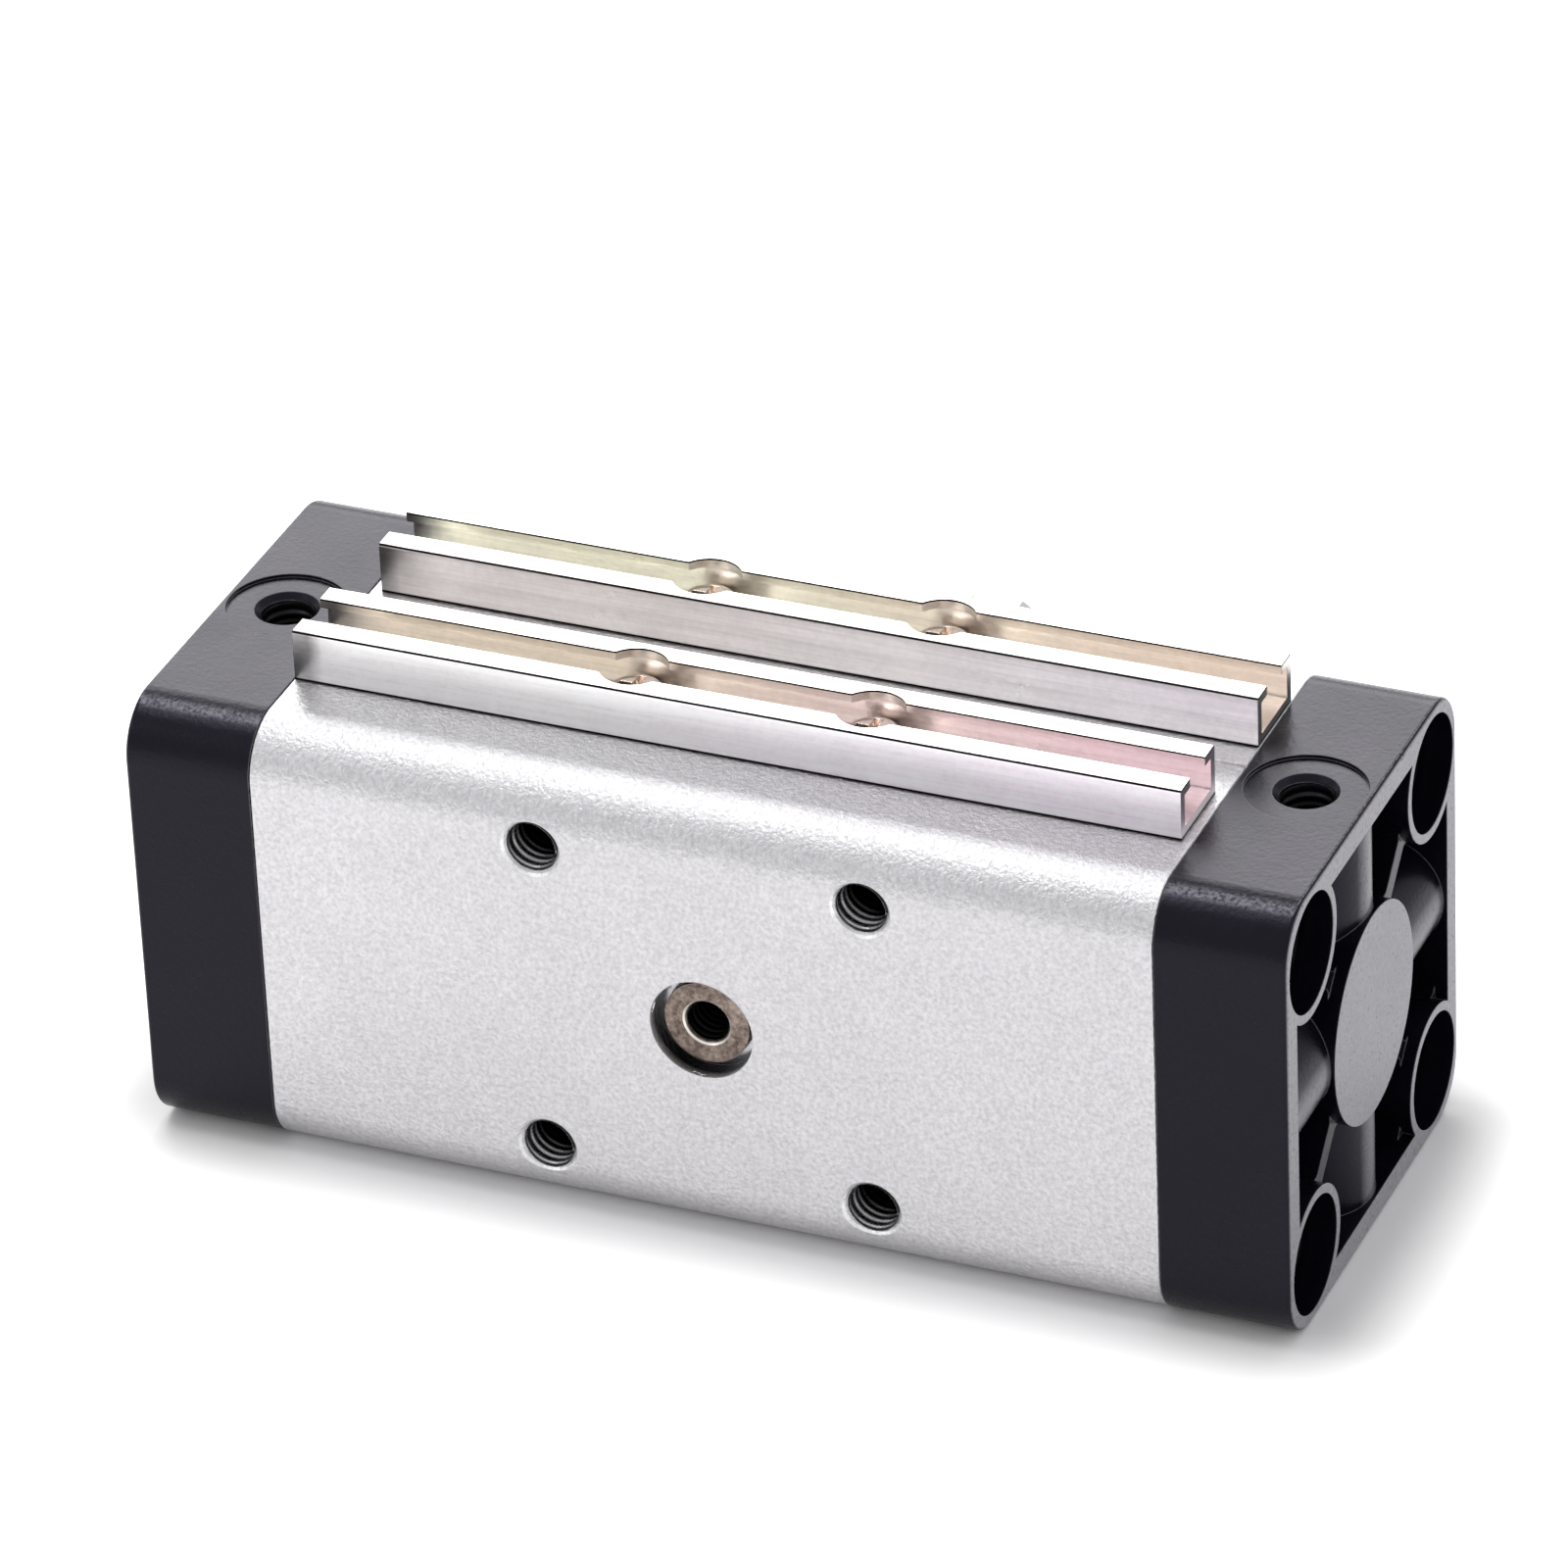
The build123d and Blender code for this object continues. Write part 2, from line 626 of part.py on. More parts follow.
def build():
    """Every node of the actuator, by name."""
    front = bearing_parts(shaft_r, front_bearing_r, front_bearing_width, front_bearing_y)
    rear = bearing_parts(rear_journal_r, rear_bearing_r, rear_bearing_width, rear_bearing_y)
    nodes = {
        "body_block": body_block(),
        "right_cover": right_cover(),
        "right_cover_gasket": right_gasket(),
        "right_bumper": right_bumper(),
        "right_cover_screws": right_cover_screws(),
        "right_piston": right_piston(),
        "right_link_screw": right_link_screw(),
    }
    magnet, wear_ring, seal = right_piston_rings()
    nodes["right_magnet_ring"] = magnet
    nodes["right_wear_ring"] = wear_ring
    nodes["right_piston_seal"] = seal
    for name in [key for key in nodes if key.startswith("right_")]:
        nodes[name.replace("right_", "left_")] = left(nodes[name])
    nodes["blank_side_rail"] = switch_rail(blank_rail_y, -rail_shift)
    nodes["shaft_side_rail"] = switch_rail(shaft_rail_y, rail_shift)
    nodes["blank_side_rail_screws"] = rail_screws(blank_rail_y)
    nodes["shaft_side_rail_screws"] = rail_screws(shaft_rail_y)
    nodes["bearing_retainer"] = bearing_retainer()
    nodes["retainer_screws"] = retainer_screws()
    nodes["rack_slider"] = rack_slider()
    nodes["rack"] = rack()
    nodes["pinion_shaft"] = pinion_shaft()
    for side, parts in (("shaft_side", front), ("blank_side", rear)):
        outer_race, inner_race, cage, balls = parts
        nodes[side + "_outer_race"] = outer_race
        nodes[side + "_inner_race"] = inner_race
        nodes[side + "_ball_cage"] = cage
        nodes[side + "_balls"] = balls
    return nodes


os.makedirs("parts", exist_ok=True)
for node, shape in build().items():
    export_step(shape, "parts/" + node + ".step")
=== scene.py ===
"""Dress a pneumatic rotary actuator: finishes, screw threads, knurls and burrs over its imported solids."""

import json
import logging
import math
from dataclasses import dataclass, field
from enum import Enum

import bpy
from mathutils import Matrix, Vector


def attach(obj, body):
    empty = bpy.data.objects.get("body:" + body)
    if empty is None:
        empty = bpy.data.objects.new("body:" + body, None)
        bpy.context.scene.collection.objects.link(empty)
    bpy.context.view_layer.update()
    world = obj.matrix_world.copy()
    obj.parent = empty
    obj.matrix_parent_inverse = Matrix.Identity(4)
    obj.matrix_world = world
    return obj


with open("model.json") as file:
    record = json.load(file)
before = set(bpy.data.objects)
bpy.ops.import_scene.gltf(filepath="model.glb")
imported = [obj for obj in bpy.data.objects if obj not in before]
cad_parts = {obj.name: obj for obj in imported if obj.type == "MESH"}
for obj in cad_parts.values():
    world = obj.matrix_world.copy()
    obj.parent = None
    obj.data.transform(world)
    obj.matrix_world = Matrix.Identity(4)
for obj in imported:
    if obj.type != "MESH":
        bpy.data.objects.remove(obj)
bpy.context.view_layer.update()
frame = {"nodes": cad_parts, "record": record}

MM = 0.001
AXIS_MM = 19.0  # height of the bore's and the shaft's axes above the base
NOISE_SPAN = (0.3, 0.7)  # where Blender's noise lies nearly all the time
LOG = logging.getLogger("rotary_actuator")


class Lay(Enum):
    """Which way the marks of the tool that made a surface run."""

    NONE = "none"
    ALONG_X = "drawn through a die along X"
    ROUND_X = "turned about the bore's axis"
    ROUND_Y = "turned or ground about the shaft's axis"


def linear(code: str) -> tuple[float, float, float, float]:
    """Turn an sRGB hex value into linear colour.

    Args:
        code: Six hex digits with a leading #.

    Returns:
        Linear red, green, blue and an alpha of one.
    """
    parts = [int(code[i:i + 2], 16) / 255 for i in (1, 3, 5)]
    red, green, blue = [c / 12.92 if c <= 0.04045 else ((c + 0.055) / 1.055) ** 2.4 for c in parts]
    return (red, green, blue, 1.0)


def add(tree: bpy.types.NodeTree, kind: str, inputs: dict | None = None, **settings) -> bpy.types.Node:
    """Add a node to a tree with its settings, socket values and links.

    Args:
        tree: The material or geometry tree that gets the node.
        kind: Blender's type name of the node.
        inputs: Input name or number to a plain value or to an output socket, which is linked.
        **settings: Properties of the node itself.

    Returns:
        The new node.
    """
    node = tree.nodes.new(kind)
    for key, value in settings.items():
        setattr(node, key, value)
    for key, value in (inputs or {}).items():
        if isinstance(value, bpy.types.NodeSocket):
            tree.links.new(value, node.inputs[key])
        else:
            node.inputs[key].default_value = value
    return node


@dataclass(frozen=True)
class Finish:
    """A surface finish: what it is made of, how it was made and how worn it is, with painted shade in its crevices.

    Sizes are in millimetres on the real object.
    """

    title: str
    base: str
    shade: str
    metallic: float = 0.0
    roughness: float = 0.5
    roughness_spread: float = 0.08
    specular: float = 0.5
    mirror_tint: str = "#ffffff"
    cloud_mm: float = 6.0
    cloud_amount: float = 0.5
    grain_mm: float = 0.25
    grain_tone: float = 0.1
    grain_depth_mm: float = 0.004
    lay: Lay = Lay.NONE
    lay_mm: float = 0.2
    lay_tone: float = 0.0
    lay_depth_mm: float = 0.0
    die_stretch: float = 0.02
    # Edge colour and amount: wear, and on the body, covers and rails painted edge highlight and dark line.
    wear_and_light_colour: str = "#b9bbbe"
    edge_mm: float = 0.12
    edge_wear_and_light: float = 0.3
    # Painted shade in crevices: how far ambient occlusion looks, how dark it gets and over which span.
    crevice_mm: float = 0.35
    crevice_tone: float = 0.45
    crevice_span: tuple[float, float] = (0.35, 0.95)
    cloud_span: tuple[float, float] = (0.35, 0.75)
    edge_span: tuple[float, float] = (0.99, 0.86)
    patch_span: tuple[float, float] = (0.4, 0.65)
    patch_least: float = 0.35

    def make(self) -> bpy.types.Material:
        """Build the material.

        Returns:
            The finished material.
        """
        material = bpy.data.materials.new(self.title)
        material.use_nodes = True
        tree = material.node_tree
        tree.nodes.clear()
        where = add(tree, "ShaderNodeTexCoord").outputs["Object"]
        grain = add(tree, "ShaderNodeTexNoise", {"Vector": where, "Scale": 0.5 / (self.grain_mm * MM),
                                                 "Detail": 3.0, "Roughness": 0.65}).outputs["Fac"]
        cloud = add(tree, "ShaderNodeTexNoise", {"Vector": where, "Scale": 1 / (self.cloud_mm * MM),
                                                 "Detail": 4.0, "Roughness": 0.55}).outputs["Fac"]
        marks = self.tool_marks(tree, where)
        colour = self.tone(tree, where, cloud)
        colour = self.darken(tree, colour, grain, self.grain_tone)
        colour = self.darken(tree, colour, marks, self.lay_tone)
        corner = add(tree, "ShaderNodeBevel", {"Radius": self.edge_mm * MM}, samples=4).outputs["Normal"]
        # Painted shade: darken the colour where ambient occlusion finds surfaces close by, in corners, crevices and
        # where parts meet.
        open_air = add(tree, "ShaderNodeAmbientOcclusion", {"Distance": self.crevice_mm * MM},
                       samples=4).outputs["AO"]
        shut, clear = self.crevice_span
        darkening = add(tree, "ShaderNodeMapRange", {"Value": open_air, "From Min": shut, "From Max": clear,
                                                "To Min": 1 - self.crevice_tone, "To Max": 1.0}).outputs[0]
        colour = add(tree, "ShaderNodeVectorMath", {0: colour, "Scale": darkening}, operation="SCALE").outputs[0]
        # Edge colour: wear on most finishes, painted highlight on the body and covers, painted dark line on the rails.
        edge_wear_and_light_mask = self.edge_mask(tree, corner, cloud)
        colour = add(tree, "ShaderNodeMix", {"Factor": edge_wear_and_light_mask, 6: colour, 7: linear(self.wear_and_light_colour)},
                     data_type="RGBA").outputs[2]
        height = add(tree, "ShaderNodeMath", {0: grain, 1: self.grain_depth_mm}, operation="MULTIPLY").outputs[0]
        ridge = add(tree, "ShaderNodeMath", {0: marks, 1: self.lay_depth_mm}, operation="MULTIPLY").outputs[0]
        relief = add(tree, "ShaderNodeMath", {0: height, 1: ridge}, operation="ADD").outputs[0]
        bump = add(tree, "ShaderNodeBump", {"Height": relief, "Distance": MM, "Normal": corner}).outputs["Normal"]
        low, high = self.roughness - self.roughness_spread, self.roughness + self.roughness_spread
        gloss = add(tree, "ShaderNodeMapRange", {"Value": cloud, "From Min": NOISE_SPAN[0], "From Max": NOISE_SPAN[1],
                                                 "To Min": low, "To Max": high}).outputs[0]
        shader = add(tree, "ShaderNodeBsdfPrincipled", {"Base Color": colour, "Metallic": self.metallic,
                                                        "Roughness": gloss, "Normal": bump,
                                                        "Specular IOR Level": self.specular,
                                                        "Specular Tint": linear(self.mirror_tint)})
        add(tree, "ShaderNodeOutputMaterial", {"Surface": shader.outputs[0]})
        return material

    def tone(self, tree: bpy.types.NodeTree, where: bpy.types.NodeSocket,
             cloud: bpy.types.NodeSocket) -> bpy.types.NodeSocket:
        """Mix the base colour with its shade in soft clouds.

        Args:
            tree: The material's tree.
            where: Object coordinates.
            cloud: Slow noise from 0 to 1.

        Returns:
            where: Object coordinates; not used here.
        """
        start, end = self.cloud_span
        spread = add(tree, "ShaderNodeMapRange", {"Value": cloud, "From Min": start, "From Max": end,
                                                  "To Min": 0.0, "To Max": self.cloud_amount}).outputs[0]
        return add(tree, "ShaderNodeMix", {"Factor": spread, 6: linear(self.base), 7: linear(self.shade)},
                   data_type="RGBA").outputs[2]

    def darken(self, tree: bpy.types.NodeTree, colour: bpy.types.NodeSocket, pattern: bpy.types.NodeSocket,
               amount: float) -> bpy.types.NodeSocket:
        """Vary a colour's lightness by a pattern about its middle.

        Args:
            tree: The material's tree.
            colour: Colour to vary.
            pattern: Pattern from 0 to 1 with its middle at a half.
            amount: Share of lightness between the pattern's usual ends.

        Returns:
            The varied colour.
        """
        start, end = NOISE_SPAN
        light = add(tree, "ShaderNodeMapRange", {"Value": pattern, "From Min": start, "From Max": end,
                                                 "To Min": 1 - amount, "To Max": 1 + amount}).outputs[0]
        return add(tree, "ShaderNodeVectorMath", {0: colour, "Scale": light}, operation="SCALE").outputs[0]

    def reach(self, tree: bpy.types.NodeTree, where: bpy.types.NodeSocket,
              across: tuple[float, float, float]) -> bpy.types.NodeSocket:
        """Measure how far a point lies from the bore's or the shaft's axis.

        Args:
            tree: The material's tree.
            where: Object coordinates.
            across: One for each direction square to the axis, and zero along it.

        Returns:
            The distance in metres.
        """
        centre = add(tree, "ShaderNodeVectorMath", {0: where, 1: (0, 0, AXIS_MM * MM)},
                     operation="SUBTRACT").outputs[0]
        flat = add(tree, "ShaderNodeVectorMath", {0: centre, 1: across}, operation="MULTIPLY").outputs[0]
        return add(tree, "ShaderNodeVectorMath", {0: flat}, operation="LENGTH").outputs["Value"]

    def tool_marks(self, tree: bpy.types.NodeTree, where: bpy.types.NodeSocket) -> bpy.types.NodeSocket:
        """Lines that the die, the lathe or the grinding wheel left.

        Args:
            tree: The material's tree.
            where: Object coordinates.

        Returns:
            A pattern from 0 to 1.
        """
        fine = 1 / (self.lay_mm * MM)
        if self.lay in (Lay.ROUND_X, Lay.ROUND_Y):
            along = "X" if self.lay is Lay.ROUND_X else "Y"
            reach = self.reach(tree, where, (0, 1, 1) if along == "X" else (1, 0, 1))
            split = add(tree, "ShaderNodeSeparateXYZ", {0: where}).outputs[along]
            place = add(tree, "ShaderNodeCombineXYZ", {"X": reach, "Y": split}).outputs[0]
            return add(tree, "ShaderNodeTexNoise", {"Vector": place, "Scale": fine, "Detail": 2.0}).outputs["Fac"]
        stretch = (self.die_stretch, 1, 1) if self.lay is Lay.ALONG_X else (1, 1, 1)
        place = add(tree, "ShaderNodeMapping", {"Vector": where, "Scale": stretch}).outputs[0]
        return add(tree, "ShaderNodeTexNoise", {"Vector": place, "Scale": fine, "Detail": 3.0}).outputs["Fac"]

    def edge_mask(self, tree: bpy.types.NodeTree, corner: bpy.types.NodeSocket,
                  cloud: bpy.types.NodeSocket) -> bpy.types.NodeSocket:
        """Find the edges for wear and painted edge light, broken up so they look handled rather than outlined.

        Args:
            tree: The material's tree.
            corner: Normal rounded over the edges.
            cloud: Slow noise from 0 to 1.

        Returns:
            Edge wear and painted edge light from 0 to 1.
        """
        plain = add(tree, "ShaderNodeNewGeometry").outputs["Normal"]
        same = add(tree, "ShaderNodeVectorMath", {0: corner, 1: plain}, operation="DOT_PRODUCT").outputs["Value"]
        plane, sharp = self.edge_span
        edge = add(tree, "ShaderNodeMapRange", {"Value": same, "From Min": plane, "From Max": sharp}).outputs[0]
        start, end = self.patch_span
        patch = add(tree, "ShaderNodeMapRange", {"Value": cloud, "From Min": start, "From Max": end,
                                                 "To Min": self.patch_least, "To Max": 1.0}).outputs[0]
        broken = add(tree, "ShaderNodeMath", {0: edge, 1: patch}, operation="MULTIPLY").outputs[0]
        return add(tree, "ShaderNodeMath", {0: broken, 1: self.edge_wear_and_light}, operation="MULTIPLY").outputs[0]


@dataclass(frozen=True)
class SkinFinish(Finish):
    """Finish with a painted highlight ring at each hole's mouth, and painted shade inside the holes, where no light
    comes.
    """

    hole_shade: str = "#141314"
    rim_highlight: str = "#f7f7f8"
    rim_mm: float = 0.12
    rim_spread: float = 0.85
    clear_mm: float = 0.35
    dark_mm: float = 2.2
    flat_half_mm: float = 14.5
    corner_r_mm: float = 4.5

    def tone(self, tree: bpy.types.NodeTree, where: bpy.types.NodeSocket,
             cloud: bpy.types.NodeSocket) -> bpy.types.NodeSocket:
        """Paint shade that darkens with depth below the rounded square skin, and a highlight ring at each hole's
        mouth.

        Args:
            tree: The material's tree.
            where: Object coordinates.
            cloud: Slow noise from 0 to 1.

        Returns:
            The colour before grain and wear.
        """
        plain = super().tone(tree, where, cloud)
        middle = add(tree, "ShaderNodeVectorMath", {0: where, 1: (0, 0, AXIS_MM * MM)},
                     operation="SUBTRACT").outputs[0]
        across = add(tree, "ShaderNodeVectorMath", {0: middle, 1: (0, 1, 1)}, operation="MULTIPLY").outputs[0]
        folded = add(tree, "ShaderNodeVectorMath", {0: across}, operation="ABSOLUTE").outputs[0]
        flat = self.flat_half_mm * MM
        beyond = add(tree, "ShaderNodeVectorMath", {0: folded, 1: (flat, flat, flat)}, operation="SUBTRACT").outputs[0]
        beyond = add(tree, "ShaderNodeVectorMath", {0: beyond, 1: (0, 0, 0)}, operation="MAXIMUM").outputs[0]
        reach = add(tree, "ShaderNodeVectorMath", {0: beyond}, operation="LENGTH").outputs["Value"]
        skin = self.corner_r_mm * MM
        # Painted shade: the colour darkens with depth inside the holes.
        depth = add(tree, "ShaderNodeMapRange", {"Value": reach, "From Min": skin - self.clear_mm * MM,
                                                 "From Max": skin - self.dark_mm * MM}).outputs[0]
        # Painted highlight: a thin bright ring just below the skin at each hole's mouth.
        rim_highlight_mask = add(tree, "ShaderNodeMath", {0: reach, 1: skin - self.rim_mm * MM,
                                           2: self.rim_spread * self.rim_mm * MM}, operation="COMPARE").outputs[0]
        edged = add(tree, "ShaderNodeMix", {"Factor": rim_highlight_mask, 6: plain, 7: linear(self.rim_highlight)},
                    data_type="RGBA").outputs[2]
        return add(tree, "ShaderNodeMix", {"Factor": depth, 6: edged, 7: linear(self.hole_shade)},
                   data_type="RGBA").outputs[2]


@dataclass(frozen=True)
class FettledCover(Finish):
    """Painted casting with its end plane ground to a lighter grey and a speckled painted highlight along its upper
    edges.
    """

    ground: str = "#86858a"
    pit: str = "#2e2d31"
    edge_highlight: str = "#737279"
    edge_highlight_up: tuple[float, float, float, float] = (0.86, 0.91, 0.95, 0.985)
    edge_highlight_above_mm: float = 36.8
    facing_span: tuple[float, float] = (0.75, 0.97)
    pit_span: tuple[float, float] = (0.62, 0.74)
    speckle_span: tuple[float, float] = (0.3, 0.62)
    pit_mm: float = 0.28
    plane_mm: tuple[float, float] = (46.85, 47.35)

    def tone(self, tree: bpy.types.NodeTree, where: bpy.types.NodeSocket,
             cloud: bpy.types.NodeSocket) -> bpy.types.NodeSocket:
        """Lighten the ground faces at either end plane, and paint a speckled highlight along the upper edges.

        Args:
            tree: The material's tree.
            where: Object coordinates.
            cloud: Slow noise from 0 to 1.

        Returns:
            The colour before grain and wear.
        """
        plain = super().tone(tree, where, cloud)
        place = add(tree, "ShaderNodeSeparateXYZ", {0: where}).outputs["X"]
        out = add(tree, "ShaderNodeMath", {0: place}, operation="ABSOLUTE").outputs[0]
        start, end = self.plane_mm
        near = add(tree, "ShaderNodeMapRange", {"Value": out, "From Min": start * MM,
                                                "From Max": end * MM}).outputs[0]
        way = add(tree, "ShaderNodeNewGeometry").outputs["True Normal"]
        along = add(tree, "ShaderNodeSeparateXYZ", {0: way}).outputs["X"]
        facing = add(tree, "ShaderNodeMath", {0: along}, operation="ABSOLUTE").outputs[0]
        start, end = self.facing_span
        flat = add(tree, "ShaderNodeMapRange", {"Value": facing, "From Min": start, "From Max": end}).outputs[0]
        ground = add(tree, "ShaderNodeMath", {0: near, 1: flat}, operation="MULTIPLY").outputs[0]
        dots = add(tree, "ShaderNodeTexNoise", {"Vector": where, "Scale": 1 / (self.pit_mm * MM),
                                                "Detail": 2.0}).outputs["Fac"]
        start, end = self.pit_span
        pits = add(tree, "ShaderNodeMapRange", {"Value": dots, "From Min": start, "From Max": end}).outputs[0]
        bare = add(tree, "ShaderNodeMix", {"Factor": pits, 6: linear(self.ground), 7: linear(self.pit)},
                   data_type="RGBA").outputs[2]
        # Painted highlight: lighter grey in speckles on the upper edges, where the normal tilts up within a narrow
        # band.
        smooth = add(tree, "ShaderNodeNewGeometry").outputs["Normal"]
        up = add(tree, "ShaderNodeSeparateXYZ", {0: smooth}).outputs["Z"]
        low, full, still, top = self.edge_highlight_up
        rising = add(tree, "ShaderNodeMapRange", {"Value": up, "From Min": low, "From Max": full}).outputs[0]
        falling = add(tree, "ShaderNodeMapRange", {"Value": up, "From Min": top, "From Max": still}).outputs[0]
        start, end = self.speckle_span
        speckle = add(tree, "ShaderNodeMapRange", {"Value": dots, "From Min": start, "From Max": end}).outputs[0]
        height = add(tree, "ShaderNodeSeparateXYZ", {0: where}).outputs["Z"]
        outside = add(tree, "ShaderNodeMath", {0: height, 1: self.edge_highlight_above_mm * MM},
                      operation="GREATER_THAN").outputs[0]
        edge = rising
        for mask in (falling, speckle, outside):
            edge = add(tree, "ShaderNodeMath", {0: edge, 1: mask}, operation="MULTIPLY").outputs[0]
        wear_and_light_colour = add(tree, "ShaderNodeMix", {"Factor": edge, 6: plain, 7: linear(self.edge_highlight)},
                   data_type="RGBA").outputs[2]
        return add(tree, "ShaderNodeMix", {"Factor": ground, 6: wear_and_light_colour, 7: bare},
                   data_type="RGBA").outputs[2]


@dataclass(frozen=True)
class TintedRail(Finish):
    """Anodised rail with painted reflection tints along its length, painted shade lines along its foot and upper
    edges, and patches darker towards its left end.
    """

    shade_line: str = "#1d191b"
    outline_z_mm: tuple[float, float] = (38.17, 42.14)
    line_below_normal: float = 0.93
    end_dark_x_mm: tuple[float, float] = (-34.4, -35.6)
    blend_x_mm: tuple[float, float] = (-12.0, 26.0)
    inner_half_width_mm: float = 2.9
    outer_half_width_mm: float = 3.9
    reflection_tints: tuple[tuple[float, str, str, str, str], ...] = (
        (-6.5, "#fffdfc", "#fff6fe", "#f2ece4", "#f9edef"), (7.9, "#e0dad6", "#e9e8e6", "#f5f3ea", "#f9f1ea"))

    def tone(self, tree: bpy.types.NodeTree, where: bpy.types.NodeSocket,
             cloud: bpy.types.NodeSocket) -> bpy.types.NodeSocket:
        """Paint reflection tints along the rails, shade lines along their foot and upper edges, and darker patches at
        their left end.

        Args:
            tree: The material's tree.
            where: Object coordinates.
            cloud: Slow noise from 0 to 1.

        Returns:
            The colour before grain and wear.
        """
        axes = add(tree, "ShaderNodeSeparateXYZ", {0: where}).outputs
        colour = super().tone(tree, where, cloud)
        start, end = self.blend_x_mm
        along = add(tree, "ShaderNodeMapRange", {"Value": axes["X"], "From Min": start * MM,
                                                 "From Max": end * MM}).outputs[0]
        # Painted reflection: each rail's outside and inside get tints of their own, shifting along its length.
        for middle, *outside, left, right in self.reflection_tints:
            for width, start, end in ((self.outer_half_width_mm, *outside), (self.inner_half_width_mm, left, right)):
                reflection_tint = add(tree, "ShaderNodeMix", {"Factor": along, 6: linear(start), 7: linear(end)},
                           data_type="RGBA").outputs[2]
                inside = add(tree, "ShaderNodeMath", {0: axes["Y"], 1: middle * MM, 2: width * MM},
                             operation="COMPARE").outputs[0]
                colour = add(tree, "ShaderNodeMix", {"Factor": inside, 6: colour, 7: reflection_tint},
                             data_type="RGBA").outputs[2]
        # Painted shade: dark lines along the rails' foot and upper edges.
        up = add(tree, "ShaderNodeSeparateXYZ", {0: add(tree, "ShaderNodeNewGeometry").outputs["True Normal"]}).outputs
        upright = add(tree, "ShaderNodeMath", {0: up["Z"], 1: self.line_below_normal},
                      operation="LESS_THAN").outputs[0]
        foot, brow = self.outline_z_mm
        low = add(tree, "ShaderNodeMath", {0: axes["Z"], 1: foot * MM}, operation="LESS_THAN").outputs[0]
        high = add(tree, "ShaderNodeMath", {0: axes["Z"], 1: brow * MM}, operation="GREATER_THAN").outputs[0]
        shade_line = add(tree, "ShaderNodeMath", {0: low, 1: high}, operation="ADD").outputs[0]
        shade_line = add(tree, "ShaderNodeMath", {0: shade_line, 1: upright}, operation="MULTIPLY").outputs[0]
        # Darker in patches towards the rails' left end.
        start, end = self.end_dark_x_mm
        end_ramp = add(tree, "ShaderNodeMapRange", {"Value": axes["X"], "From Min": start * MM,
                                                 "From Max": end * MM}).outputs[0]
        patchy = add(tree, "ShaderNodeMath", {0: end_ramp, 1: cloud}, operation="MULTIPLY").outputs[0]
        darkening = add(tree, "ShaderNodeMath", {0: shade_line, 1: patchy}, operation="MAXIMUM").outputs[0]
        return add(tree, "ShaderNodeMix", {"Factor": darkening, 6: colour, 7: linear(self.shade_line)},
                   data_type="RGBA").outputs[2]


@dataclass(frozen=True)
class BoredShaft(Finish):
    """Shaft steel with painted shade filling its centre hole, a bright ring round it and a polished running end."""

    bore_shade: str = "#070606"
    ring: str = "#f6f0ea"
    polished: str = "#d9d7d4"
    speckle_mm: float = 0.22
    speckle_tone: float = 0.5
    hole_r_mm: float = 1.76
    ring_r_mm: tuple[float, float] = (1.93, 0.07)
    polished_y_mm: float = 19.5

    def tone(self, tree: bpy.types.NodeTree, where: bpy.types.NodeSocket,
             cloud: bpy.types.NodeSocket) -> bpy.types.NodeSocket:
        """Colour the shaft by its distance from its axis at the rear and by its length at the front.

        Args:
            tree: The material's tree.
            where: Object coordinates.
            cloud: Slow noise from 0 to 1.

        Returns:
            The colour before grain and wear.
        """
        plain = super().tone(tree, where, cloud)
        reach = self.reach(tree, where, (1, 0, 1))
        length = add(tree, "ShaderNodeSeparateXYZ", {0: where}).outputs["Y"]
        rear = add(tree, "ShaderNodeMath", {0: length, 1: 0.0}, operation="LESS_THAN").outputs[0]
        front = add(tree, "ShaderNodeMath", {0: length, 1: self.polished_y_mm * MM},
                    operation="GREATER_THAN").outputs[0]
        middle, width = self.ring_r_mm
        lip = add(tree, "ShaderNodeMath", {0: reach, 1: middle * MM, 2: width * MM}, operation="COMPARE").outputs[0]
        bore = add(tree, "ShaderNodeMath", {0: reach, 1: self.hole_r_mm * MM}, operation="LESS_THAN").outputs[0]
        dots = add(tree, "ShaderNodeTexNoise", {"Vector": where, "Scale": 0.5 / (self.speckle_mm * MM),
                                                "Detail": 3.0, "Roughness": 0.65}).outputs["Fac"]
        speckled = self.darken(tree, plain, dots, self.speckle_tone)
        colour = add(tree, "ShaderNodeMix", {"Factor": front, 6: speckled, 7: linear(self.polished)},
                     data_type="RGBA").outputs[2]
        # Painted shade: the centre hole is filled near black.
        for mask, tone in ((lip, self.ring), (bore, self.bore_shade)):
            here = add(tree, "ShaderNodeMath", {0: mask, 1: rear}, operation="MULTIPLY").outputs[0]
            colour = add(tree, "ShaderNodeMix", {"Factor": here, 6: colour, 7: linear(tone)},
                         data_type="RGBA").outputs[2]
        return colour


# 6063 aluminium, glass-bead blasted and clear anodised: a matt silver that sparkles where it turns to the light.
# Blast pits are about 0.05 mm; they are drawn at 0.18 mm, the finest that shows.
# Painted shade darkens its holes, and painted highlights whiten its hole mouths and its edges.
BLASTED_BODY = SkinFinish("bead_blasted_anodised_aluminium", "#d0cfd1", "#cac9cb", metallic=1.0, roughness=0.35,
                          roughness_spread=0.02, cloud_mm=9.0, grain_mm=0.18, grain_tone=0.16, grain_depth_mm=0.11,
                          wear_and_light_colour="#f4f5f7", edge_mm=0.15, edge_wear_and_light=0.6, clear_mm=0.3, dark_mm=0.9)
